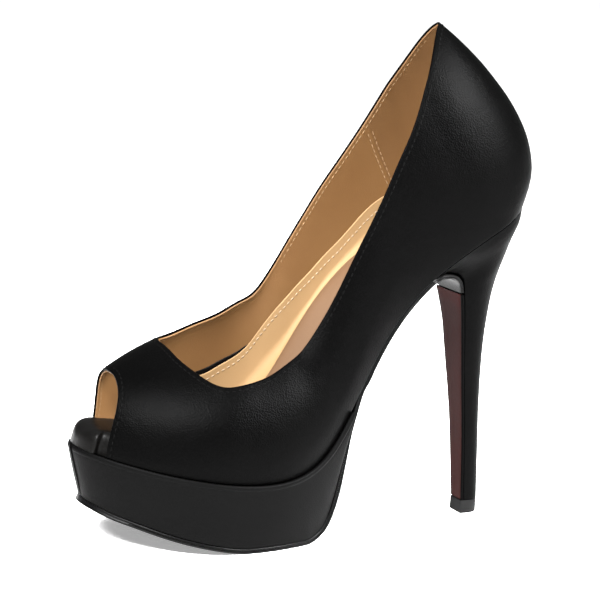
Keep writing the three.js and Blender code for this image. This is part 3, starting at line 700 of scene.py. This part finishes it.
def insole_top(at, across, extra):
    """Height over the bottom: rolled down at the edges by (1 - a^6)^(1/3) and at the nose by
    (1 - n^10)^(1/3), cupped at the inner side."""
    roll = np.maximum(1 - np.abs(across) ** 6, 0) ** (1 / 3)
    nose = np.clip((at - TOE_CENTRE) / (TOE_END - TOE_INSET - TOE_CENTRE), 0, 1)
    nose_roll = (1 - nose**10) ** (1 / 3)
    cup = bed_cup(at) * ((1 - across) / 2) ** 2
    return LIP + (bed_thick(at) - LIP) * roll * nose_roll + cup * roll + extra


def across_places(count):
    return -np.cos(np.linspace(0, math.pi, count))


def make_insole(cover):
    nose = mix(130, TOE_END - TOE_INSET - 0.05, np.sin(np.linspace(0, math.pi / 2, 70)))
    at = np.concatenate([np.linspace(BACK_STATION, 130, 130)[:-1], nose])[:, None]
    across = across_places(45)[None, :]
    inset = insole_inset(at, across)
    top = over_bottom(at, across, insole_top(at, across, 0), inset)
    low = over_bottom(at, across, 0.2, inset)[:, ::-1]
    points, faces = loft(np.concatenate([top, low], axis=1))
    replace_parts(make("insole_board", points, faces, cover, "insole_cover", sharp=50), "insole")


# How far up the inner wall the sock's leather and the insole's cover reach
SOCK_SIDE = table(["at", "up"], [
    [-8, 0.04],
    [0, 0.1],
    [12, 0.15],
    [25, 0.175],
    [36, 0.182],
    [44, 0.18],
    [50, 0.19],
    [55, 0.212],
    [61, 0.25],
    [66, 0.3],
    [72, 0.361],
    [77, 0.405],
    [82, 0.432],
    [88, 0.436],
    [94, 0.418],
    [103, 0.402],
    [109, 0.394],
    [114, 0.38],
    [122, 0.365],
    [128, 0.32],
    [131, 0.24],
    [133, 0.12],
])
COVER_SIDE = table(["at", "up"], [
    [88, 0.38],
    [92, 0.42],
    [97, 0.424],
    [103, 0.422],
    [109, 0.417],
    [114, 0.405],
    [122, 0.388],
    [130, 0.35],
    [135, 0.25],
    [137, 0.12],
])


def sock_across(at, across):
    nose = np.clip((at - SOCK_FRONT + SOCK_NOSE) / (SOCK_NOSE + 0.3), 0, 1)
    return across * (1 - nose**2.4) ** (1 / 2.4) * SOCK_SHARE


def sock_point(at, across, extra):
    place = sock_across(at, across)
    return over_bottom(at, place, insole_top(at, place, extra), INSOLE_INSET)


def sock_line(side, drop):
    """Line on the sock drop mm in from its edge, from the heel round the front end to its middle."""
    nose = mix(SOCK_FRONT - SOCK_NOSE, SOCK_FRONT - drop, np.sin(np.linspace(0, math.pi / 2, 80)))
    at = np.concatenate([np.linspace(BACK_STATION + 5, SOCK_FRONT - SOCK_NOSE, 200)[:-1], nose])
    half = (half_of[side](np.maximum(at, HEEL_CENTRE)) - INSOLE_INSET) * SOCK_SHARE
    half = np.maximum(half, 8) * np.sqrt(np.maximum(1 - turn_share(at) ** 2, 0.01))
    front = np.clip((at - SOCK_FRONT + SOCK_NOSE) / (SOCK_NOSE - drop), 0, 1)
    across = side * np.maximum(1 - drop / half, 0) * (1 - front**2.4) ** (1 / 2.4) * SOCK_SHARE
    here = over_bottom(at, across, insole_top(at, across, SOCK_GAP + SOCK_THICK + 0.02), INSOLE_INSET)
    over = over_bottom(at, across, insole_top(at, across, SOCK_GAP + SOCK_THICK + 1.0), INSOLE_INSET)
    return here, unit(over - here)


def make_sock(leather, thread):
    nose = mix(SOCK_FRONT - SOCK_NOSE, SOCK_FRONT, np.sin(np.linspace(0, math.pi / 2, 50)))
    at = np.concatenate([np.linspace(BACK_STATION, SOCK_FRONT - SOCK_NOSE, 130)[:-1], nose])[:, None]
    across = across_places(41)[None, :]
    top = sock_point(at, across, SOCK_GAP + SOCK_THICK)
    low = sock_point(at, across, SOCK_GAP)[:, ::-1]
    points, faces = loft(np.concatenate([top, low], axis=1))
    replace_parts(make("sock_lining", points, faces, leather, "sock_leather", sharp=50), "sock")
    stitches("sock_stitches", [sock_line(OUTER, 4.0)], 2.9, 1.9, 0.28, thread)


def inner_wall(at, up, off):
    """Point off mm inside the foot form's inner side, with its direction into the shoe."""
    low, high = on_form(at, up - 0.004, INNER), on_form(at, up + 0.004, INNER)
    back, fore = on_form(at - 0.3, up, INNER), on_form(at + 0.3, up, INNER)
    inward = unit(np.cross(high - low, fore - back))
    inward = inward * np.sign(inward[..., 1:2] + 1e-9)
    return on_form(at, up, INNER) + inward * off, inward


def arch_side(name, bound, off, finish, slot):
    """Leather turned up the inner wall at the arch: from the sock a quadratic bend, then up the wall to
    the height share that the bound gives for each station."""
    at = np.linspace(bound["at"][0], bound["at"][-1], 110)[:, None]
    top = natural(bound["at"], bound["up"])(at)
    foot = over_bottom(at, -0.72, insole_top(at, -0.72, SOCK_GAP + SOCK_THICK - 0.5), INSOLE_INSET)
    bend = inner_wall(at, 0.42 * top, off)[0]
    wall = inner_wall(at, top * np.linspace(0.62, 1, 24)[None, :], off)[0]
    t = np.linspace(0, 1, 14)[None, :-1, None]
    low = (1 - t) ** 2 * foot + 2 * t * (1 - t) * bend + t**2 * wall[:, :1]
    skin = np.concatenate([low, wall], axis=1)
    points = skin.reshape(-1, 3)
    faces = grid_faces(*skin.shape[:2], 0)
    if np.mean(corner_normals(points, faces)[:, 1]) < 0:
        faces = faces[:, ::-1]
    marks = np.zeros((len(points), 2))
    shell = walled(points, faces, marks, 0.0, -0.7, 0.3, steps=6)
    return make(name, *shell[:2], finish, slot, sharp=60)


def make_arch_side(leather, cover, thread):
    arch_side("insole_arch_side", COVER_SIDE, WALL + 0.9, cover, "insole_cover")
    # The sock's turned-up side takes the lighter copy of the sock leather: painted light against the shade
    # on the inner wall.
    arch_side("sock_arch_side", SOCK_SIDE, WALL + 1.3, leather, "sock_leather")
    at = np.linspace(SOCK_SIDE["at"][0] + 12, SOCK_SIDE["at"][-1] - 8, 300)
    up = natural(SOCK_SIDE["at"], SOCK_SIDE["up"])(at)
    line = inner_wall(at, up - 0.034, WALL + 1.3)
    stitches("arch_stitches", [line], 2.6, 1.7, 0.38, thread)


# Platform and outsole

sole_x = by_row(station(SOLE["at"]))
sole_curve = by_row(SOLE["height"] * HEEL_HEIGHT)
sole_over = by_row(station(SOLE["over"]))
SOLE_ROWS = len(SOLE["at"]) - 1


def sole_z(row):
    return np.maximum(sole_curve(row), 0)


def sole_point(row, across, height):
    """Point of the sole's underside: its line in the side view, across the shoe, lifted square to it."""
    row, across, height = np.broadcast_arrays(*[np.asarray(v, float) for v in (row, across, height)])
    x, z = sole_x(row), sole_z(row)
    dx = sole_x(row + 0.02) - sole_x(row - 0.02)
    dz = sole_z(row + 0.02) - sole_z(row - 0.02)
    size = np.hypot(dx, dz)
    lifted = np.clip((z - 12) / 50, 0, 1) ** 1.6
    sway = np.where(x > TOE_CENTRE, 0, ARCH_SWAY * (1 - across) / 2 * lifted)
    inset = mix(ARCH_INSET, SOLE_INSET, np.clip(row / 5, 0, 1))
    y = mix(edge(x, INNER, inset), edge(x, OUTER, inset), (1 + across) / 2)
    return np.stack([x + sway - dz / size * height, y, z + dx / size * height], -1)


RIM = table(["height", "out"], [
    [-0.3, 0.2],
    [0.1, 0.5],
    [0.25, 0.9],
    [0.25, 1.4],
    [-0.1, 1.85],
    [-0.8, 2.05],
    [-1.5, 1.85],
    [-2.0, 1.4],
    [-2.6, 1.2],
])


def platform_rings(rows):
    """Rings of the platform: top, a bead round its rim, sides drawn in to the sole, underside."""
    row = rows[:, None]
    at = sole_over(row)
    toeward = np.clip((at - TOE_CENTRE) / (TOE_END - TOE_CENTRE), 0, 1)
    round_off = toe_round(at, 0)[1]

    def rim(side, height, out):
        point = over_bottom(at, side, height, 0)
        forward = out * toeward**2 * (1 - round_off) * 0.9
        sideways = side * out * np.maximum(round_off, 0.25)
        return point + np.stack([forward, sideways, 0 * forward], -1)

    places = np.linspace(0, len(RIM["height"]) - 1, 25)[None, :]
    bead_height, bead_out = by_row(RIM["height"])(places), by_row(RIM["out"])(places)
    down = np.linspace(0, 1, 14)[None, 1:]

    def wall(side):
        top = rim(side, -2.6, 1.2)
        foot = sole_point(row, side, SOLE_THICK + GAP)
        belly = 0.5 * np.sin(down * math.pi) * side
        line = mix(top, foot, down[..., None])
        return line + np.stack([0 * belly, belly, 0 * belly], -1)

    sides = {}
    for side in (OUTER, INNER):
        sides[side] = np.concatenate([rim(side, bead_height, bead_out), wall(side)], axis=1)
    across = np.linspace(-0.9, 0.9, 11)[None, :]
    top = over_bottom(at, across, -GAP, 0)
    under = sole_point(row, across[:, ::-1], SOLE_THICK + GAP)
    ring = np.concatenate([top, sides[OUTER], under, sides[INNER][:, ::-1]], axis=1)
    return np.roll(ring, sides[INNER].shape[1] // 2, axis=1)


def make_platform(wrap):
    share = np.linspace(0, 1, 230)
    rows = SOLE_ROWS * mix(share, np.sin(share * math.pi / 2), 0.5)
    points, faces = loft(platform_rings(rows))
    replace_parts(make("platform_wrap", points, faces, wrap, "platform_wrap", sharp=50), "platform")


turn_x = by_row(station(TURN["at"]))
turn_z = by_row(TURN["height"] * HEEL_HEIGHT)
turn_half = by_row(TURN["half"] * BALL_WIDTH)


def turn_point(row, across, height):
    dx = turn_x(row + 0.02) - turn_x(row - 0.02)
    dz = turn_z(row + 0.02) - turn_z(row - 0.02)
    size = np.hypot(dx, dz)
    x = turn_x(row) - dz / size * height
    z = turn_z(row) + dx / size * height
    return together(x, across * turn_half(row), z)


EDGE_ROLL = table(["height", "drawn"], [
    [0.97, 0.25],
    [0.85, 0.02],
    [0.62, 0.0],
    [0.54, 0.3],
    [0.46, 0.3],
    [0.38, 0.0],
    [0.15, 0.02],
    [0.03, 0.25],
])


def sole_rings():
    """Rings of the outsole: the turn into the heel front, the arch, then down and under the platform.
    Its edge has a groove that parts it into two lines."""
    across = np.linspace(-1, 1, 15)
    high = EDGE_ROLL["height"]
    side_across = 1 - EDGE_ROLL["drawn"] / 25
    half = len(high) // 2
    place = np.concatenate([
        -side_across[:half][::-1], across * 0.98, side_across[:half],
        side_across[half:], across[::-1] * 0.98, -side_across[half:][::-1],
    ])
    lift = np.concatenate([
        high[:half][::-1], 0 * across + 1, high[:half], high[half:], 0 * across, high[half:][::-1],
    ])
    rings = []
    for share in np.linspace(0, 1, 11):
        thick = mix(FLAP_THICK, SOLE_THICK, share)
        rings.append(turn_point(share * (len(TURN["at"]) - 1), place, lift * thick))
    for share in np.linspace(0, 1, 13):
        at = mix(ARCH_START, ARCH_END, share)
        rings.append(over_bottom(at, place, -GAP - SOLE_THICK * (1 - lift), ARCH_INSET))
    share = np.linspace(0, 1, 60)
    for row in SOLE_ROWS * mix(share, np.sin(share * math.pi / 2), 0.5):
        rings.append(sole_point(row, place, lift * SOLE_THICK))
    return refine(np.stack(rings), 3)


def make_outsole(edge_finish):
    points, faces = loft(sole_rings())
    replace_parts(make("outsole_leather", points, faces, edge_finish, "sole_leather", sharp=50), "outsole")


# Heel

heel_line = {name: by_row(HEEL[name]) for name in HEEL}
HEEL_ROWS = len(HEEL["frontAt"]) - 1
FRONT_PLACES = np.array([0.15, 0.4, 0.65, 0.88])
SIDE_PLACES = np.linspace(0.03, 1, 10)
BACK_TURNS = np.radians(np.linspace(6, 88, 18))


def heel_profile(front, widest, wide_at):
    """Half of a heel ring: flat in front, swelling by a sine to its widest, then a half ellipse
    behind."""
    back = wide_at + (1 - wide_at) * np.sin(BACK_TURNS)
    share = np.concatenate([0 * FRONT_PLACES, wide_at * SIDE_PLACES, back])
    swell = front + (widest - front) * np.sin(SIDE_PLACES * math.pi / 2)
    half = np.concatenate([front * FRONT_PLACES, swell, widest * np.cos(BACK_TURNS)])
    return share, half


def both_sides(share, half):
    return np.concatenate([share, share[::-1]]), np.concatenate([half, -half[::-1]])


def heel_ring(row):
    value = {name: float(line(row)) for name, line in heel_line.items()}
    front, widest = value["frontHalf"] * BALL_WIDTH, value["half"] * BALL_WIDTH
    share, y = both_sides(*heel_profile(front, widest, value["wideAt"]))
    x = mix(station(value["frontAt"]), station(value["backAt"]), share)
    z = mix(value["frontHeight"], value["backHeight"], share) * HEEL_HEIGHT
    return np.stack([x, y, z], -1)


def seat_ring():
    sides = mix(SEAT_FRONT, HEEL_CENTRE, SIDE_PLACES)
    back = HEEL_CENTRE - HEEL_TURN * BACK_TURNS
    at = np.concatenate([0 * FRONT_PLACES + SEAT_FRONT, sides, back])
    half = np.concatenate([FRONT_PLACES, 0 * SIDE_PLACES + 1, 0 * BACK_TURNS + 1])
    at, across = both_sides(at, half)
    return over_bottom(at, across, -GAP, SEAT_INSET)


def make_heel(wrap):
    rows = np.linspace(0, HEEL_ROWS, 19)
    rings = np.stack([*[heel_ring(row) for row in rows], seat_ring()])
    points, faces = loft(refine(rings, 8))
    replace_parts(make("heel_wrap", points, faces, wrap, "heel_wrap", sharp=35), "heel")


def make_breast(leather):
    """Flap down the heel front: its long edges are rolled, and it turns under the outsole at the top."""
    row = np.linspace(0, len(BREAST["at"]) - 1, 70)[:, None]
    x = by_row(station(BREAST["at"]))(row)
    z = by_row(BREAST["height"] * HEEL_HEIGHT)(row)
    half = by_row(BREAST["half"] * BALL_WIDTH)(row)
    across = np.linspace(-1, 1, 25)[None, :]
    drawn = 0.45 * np.abs(across) ** 14
    front = together(x - drawn, across * half, z)
    back = together(x - FLAP_THICK, across * half, z)[:, ::-1]
    rings = np.concatenate([front, back], axis=1)
    points, faces = loft(rings)
    round_flap = np.concatenate([across, across[:, ::-1]], axis=1)
    marks = together(round_flap, row / row.max()).reshape(-1, 2)
    piece = make("breast_flap", points, faces, leather, "breast_leather", marks, 35)
    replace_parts(piece, "breast_cover")


# Height on the tip and how far its edge is drawn in there
TIP_RINGS = [
    (0, 0.45),
    (0.15, 0.15),
    (0.5, 0),
    (TIP_HEIGHT - 0.4, 0),
    (TIP_HEIGHT - 0.1, 0.1),
    (TIP_HEIGHT, 0.3),
]


def make_top_piece(rubber):
    rings = []
    for height, drawn in TIP_RINGS:
        share, y = both_sides(*heel_profile(TIP_HALF - drawn, TIP_HALF + 0.15 - drawn, 0.3))
        x = mix(TIP_FRONT - drawn, TIP_BACK + drawn, share)
        rings.append(np.stack([x, y, 0 * x + height], -1))
    points, faces = loft(np.stack(rings))
    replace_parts(make("heel_tip", points, faces, rubber, "tip_rubber", sharp=35), "top_piece")


# Finishes


class Link:
    """A node's output. Each operator on it adds one Math node."""

    def __init__(self, finish, socket):
        self.finish = finish
        self.socket = socket

    def _math(self, operation, *values):
        return self.finish.node("ShaderNodeMath", {"operation": operation}, dict(enumerate(values)))

    def __add__(self, other):
        return self._math("ADD", self, other)

    def __sub__(self, other):
        return self._math("SUBTRACT", self, other)

    def __rsub__(self, other):
        return self._math("SUBTRACT", other, self)

    def __mul__(self, other):
        return self._math("MULTIPLY", self, other)

    def __gt__(self, other):
        return self._math("GREATER_THAN", self, other)

    def __lt__(self, other):
        return self._math("LESS_THAN", self, other)

    def __abs__(self):
        return self._math("ABSOLUTE", self)

    __radd__ = __add__
    __rmul__ = __mul__


class Finish:
    """A material with one Principled shader."""

    def __init__(self, name, **plain):
        self.material = bpy.data.materials.new(name)
        self.material.use_nodes = True
        self.tree = self.material.node_tree
        self.shader = self.tree.nodes["Principled BSDF"]
        for socket, value in plain.items():
            self.shader.inputs[socket.replace("_", " ")].default_value = value

    def node(self, kind, settings=None, values=None, output=0):
        made = self.tree.nodes.new(kind)
        for setting, value in (settings or {}).items():
            setattr(made, setting, value)
        for socket, value in (values or {}).items():
            self.put(made.inputs[socket], value)
        return Link(self, made.outputs[output])

    def put(self, socket, value):
        if isinstance(value, Link):
            self.tree.links.new(value.socket, socket)
        else:
            socket.default_value = value

    def place(self):
        return self.node("ShaderNodeTexCoord", output="Object")

    def noise(self, scale, detail=2.0, rough=0.5):
        """Noise from 0 to 1 over the piece; scale is how many to a metre."""
        values = {"Vector": self.place(), "Scale": scale, "Detail": detail, "Roughness": rough}
        return self.node("ShaderNodeTexNoise", values=values)

    def cells(self, scale, feature="F1"):
        values = {"Vector": self.place(), "Scale": scale}
        return self.node("ShaderNodeTexVoronoi", {"feature": feature}, values)

    def step(self, value, low, high):
        """Ramps smoothly from 0 at low to 1 at high."""
        settings = {"interpolation_type": "SMOOTHSTEP"}
        values = {"Value": value, "From Min": low, "From Max": high}
        return self.node("ShaderNodeMapRange", settings, values)

    def marks(self):
        """The two values of the piece's place map."""
        place = self.node("ShaderNodeUVMap", {"uv_map": "place"})
        first = self.node("ShaderNodeSeparateXYZ", values={0: place})
        return first, Link(self, first.socket.node.outputs[1])

    def blend(self, share, first, second):
        settings = {"data_type": "RGBA"}
        return self.node("ShaderNodeMix", settings, {0: share, 6: first, 7: second}, output=2)

    def relief(self, height, depth, strength=1.0):
        values = {"Height": height, "Distance": depth, "Strength": strength}
        self.put(self.shader.inputs["Normal"], self.node("ShaderNodeBump", values=values))

    def feed(self, socket, value):
        self.put(self.shader.inputs[socket], value)


def leather(name, dark, light, rough, grain=1500, depth=0.00006, spread=0.08, coat=0.0, shine=0.06):
    """Smooth leather: fine cells for the grain, a slow cloud in the colour and the gloss."""
    finish = Finish(name, Coat_Roughness=0.3, Specular_IOR_Level=shine)
    finish.shader.inputs["Coat Weight"].default_value = coat
    cloud = finish.noise(38, 3, 0.6)
    pore = finish.cells(grain)
    fine = finish.noise(grain * 1.7, 2, 0.6)
    finish.feed("Base Color", finish.blend(cloud * 0.7 + fine * 0.3, dark, light))
    finish.feed("Roughness", rough - spread / 2 + cloud * spread + pore * 0.06)
    wave = finish.noise(55, 2, 0.5)
    finish.relief(pore * 0.55 + fine * 0.45 + wave * 3.0, depth)
    return finish


def lining_leather():
    """Tan lining: the heel part behind the seam is a shade darker."""
    colours = (0.108, 0.05, 0.0165, 1), (0.14, 0.073, 0.026, 1)
    finish = leather("lining_leather", *colours, 0.52, 1300, 0.00004, shine=0.3)
    plain = Link(finish, finish.shader.inputs["Base Color"].links[0].from_socket)
    along_shoe = finish.marks()[0]
    seam_share = (LINING_SEAM - BACK_X) / LENGTH
    behind = finish.step(along_shoe, seam_share + 0.001, seam_share - 0.001)
    finish.feed("Base Color", finish.blend(behind * 0.3, plain, (0.07, 0.032, 0.012, 1)))
    return finish.material


def grey(level):
    return (level, level, level, 1)


def floor_finish():
    glow = {"Emission_Color": grey(1), "Emission_Strength": FLOOR_GLOW}
    finish = Finish("pale_floor", Roughness=0.75, **glow)
    finish.feed("Base Color", finish.blend(finish.noise(6, 2), grey(0.93), grey(0.95)))
    return finish.material


def breast_leather():
    """Burnished brown flap: redder at the top, its painted edges black."""
    finish = Finish("breast_leather", Specular_IOR_Level=0.01)
    across, upward = finish.marks()
    grain = finish.noise(700, 4, 0.6)
    top = finish.step(upward, 0.75, 1.0)
    body = finish.blend(top, (0.015, 0.0042, 0.0036, 1), (0.026, 0.0038, 0.0032, 1))
    body = finish.blend(grain * 0.35, body, (0.008, 0.0028, 0.0024, 1))
    rim = finish.step(abs(across), 0.86, 0.92)
    finish.feed("Base Color", finish.blend(rim, body, grey(0.0008)))
    finish.feed("Roughness", 0.36 + grain * 0.12)
    finish.relief(grain + rim * 1.5, 0.00005)
    return finish.material


def thread(name, colour):
    finish = Finish(name, Roughness=0.7, Specular_IOR_Level=0.04)
    fibre = finish.noise(5000, 2)
    finish.feed("Base Color", finish.blend(fibre, colour, tuple(c * 0.6 for c in colour[:3]) + (1,)))
    finish.relief(fibre, 0.00003)
    return finish.material


# Studio


def camera_axes(azimuth, elevation, roll):
    """Right, up and back of a camera turned from the side view toward the toe, then raised, then
    rolled."""
    level_share = math.cos(elevation)
    back = np.array([math.sin(azimuth) * level_share, math.cos(azimuth) * level_share, math.sin(elevation)])
    level = np.array([-math.cos(azimuth), math.sin(azimuth), 0])
    upright = np.cross(back, level)
    right = level * math.cos(roll) + upright * math.sin(roll)
    return right, np.cross(back, right), back


def placed(name, data):
    """New object in the scene."""
    thing = bpy.data.objects.new(name, data)
    bpy.context.scene.collection.objects.link(thing)
    return thing


def aim(thing, right, up, back, spot):
    """Puts a camera or a lamp on a spot in mm, looking away from back."""
    matrix = np.eye(4)
    matrix[:3] = np.stack([right, up, back, np.array(spot) * MM], axis=1)
    thing.matrix_world = Matrix(matrix.tolist())


def place_camera():
    turns = (CAMERA_TURN, CAMERA_RISE, CAMERA_ROLL)
    right, up, back = camera_axes(*[math.radians(turn) for turn in turns])
    data = bpy.data.cameras.new("camera")
    data.lens = CAMERA_LENS
    data.sensor_width = CAMERA_SENSOR
    camera = placed("camera", data)
    aim(camera, right, up, back, np.array(CAMERA_AIM) + back * CAMERA_DISTANCE)
    bpy.context.scene.camera = camera
    return right, up, back


def softbox(name, spot, middle, size, power):
    data = bpy.data.lights.new(name, "AREA")
    data.shape = "RECTANGLE"
    data.size, data.size_y = size
    data.energy = power
    back = unit(spot - middle)
    side = unit(np.cross([0.0, 0.0, 1.0], back))
    aim(placed(name, data), side, np.cross(back, side), back, spot)


def overhead(strength, spread):
    """Broad even light from straight above."""
    data = bpy.data.lights.new("overhead_light", "SUN")
    data.energy = strength
    data.angle = math.radians(spread)
    placed("overhead_light", data)


def studio():
    right, up, back = place_camera()
    world = bpy.data.worlds.new("white_surround")
    world.use_nodes = True
    background = world.node_tree.nodes["Background"]
    background.inputs[0].default_value = grey(1)
    background.inputs[1].default_value = SURROUND
    bpy.context.scene.world = world
    bpy.context.scene.view_settings.view_transform = "Standard"
    middle = np.array(CAMERA_AIM, float)
    for name, sideways, above, toward, size, power in SOFTBOXES:
        softbox(name, middle + right * sideways + up * above + back * toward, middle, size, power)
    overhead(*OVERHEAD)
    mesh = bpy.data.meshes.new("floor")
    ways = ((-1, -1), (1, -1), (1, 1), (-1, 1))
    mesh.from_pydata([(x * FLOOR_REACH, y * FLOOR_REACH, 0) for x, y in ways], [], [(0, 1, 2, 3)])
    mesh.materials.append(floor_finish())
    placed("floor", mesh)


# The photograph's view
CAMERA_TURN = 26          # degrees from the outer side toward the toe
CAMERA_RISE = 11
CAMERA_ROLL = 3
CAMERA_LENS = 141
CAMERA_SENSOR = 36
CAMERA_DISTANCE = 1000
CAMERA_AIM = (88.48, 1.61, 100.0)

# Studio light
SURROUND = 0.2
OVERHEAD = (1.5, 100)     # strength, degrees of sky that it fills
FLOOR_GLOW = 0.35
FLOOR_REACH = 14.0        # metres
# Name, then mm to the right of, above and in front of the aim as the camera sees it, size in m, watts
SOFTBOXES = [
    ("toe_softbox", -330, 640, 950, (0.9, 0.25), 76),
    ("back_softbox", 850, 480, 350, (0.4, 0.4), 60),
    ("top_softbox", 250, 1300, -200, (0.5, 0.5), 4),
]

SOFT = {"grain": 1300, "depth": 0.00003}
# Name, darker and lighter colour, roughness, then the other settings
FINISHES = [
    ("black_satin_leather", grey(0.0002), grey(0.0006), 0.34, {"depth": 0.00016, "shine": 0.015}),
    ("platform_wrap_leather", grey(0.0012), grey(0.002), 0.42, {"depth": 0.0001, "shine": 0.015}),
    ("heel_wrap_leather", grey(0.0006), grey(0.0012), 0.42, {"depth": 0.0001, "shine": 0.012}),
    ("insole_cover_leather", (0.0012, 0.0011, 0.001, 1), (0.002, 0.0019, 0.0018, 1), 0.36, {}),
    ("black_edge_paint", grey(0.0008), grey(0.0015), 0.3, {"grain": 900}),
    ("sock_leather", (0.08, 0.04, 0.0165, 1), (0.098, 0.051, 0.0225, 1), 0.65, SOFT | {"shine": 0.4}),
    # The sock's side leather is the sock leather painted nearly three times lighter: painted light that
    # offsets the shade falling on the upright inner wall.
    ("sock_side_painted_light_leather", (0.225, 0.138, 0.06, 1), (0.26, 0.16, 0.075, 1), 0.65, SOFT | {"shine": 0.3}),
    ("tip_rubber", grey(0.003), grey(0.005), 0.6, {"grain": 2500}),
]
leathers = {}
for name, dark, light, rough, others in FINISHES:
    leathers[name] = leather(name, dark, light, rough, **others).material
black_thread = thread("black_thread", grey(0.0006))
tan_thread = thread("tan_thread", (0.26, 0.165, 0.09, 1))
sock_thread = thread("sock_thread", (0.34, 0.25, 0.16, 1))

make_upper(leathers["black_satin_leather"], lining_leather(), black_thread, tan_thread)
make_insole(leathers["insole_cover_leather"])
make_sock(leathers["sock_leather"], sock_thread)
make_arch_side(leathers["sock_side_painted_light_leather"], leathers["insole_cover_leather"], sock_thread)
make_platform(leathers["platform_wrap_leather"])
make_outsole(leathers["black_edge_paint"])
make_heel(leathers["heel_wrap_leather"])
make_breast(breast_leather())
make_top_piece(leathers["tip_rubber"])
studio()
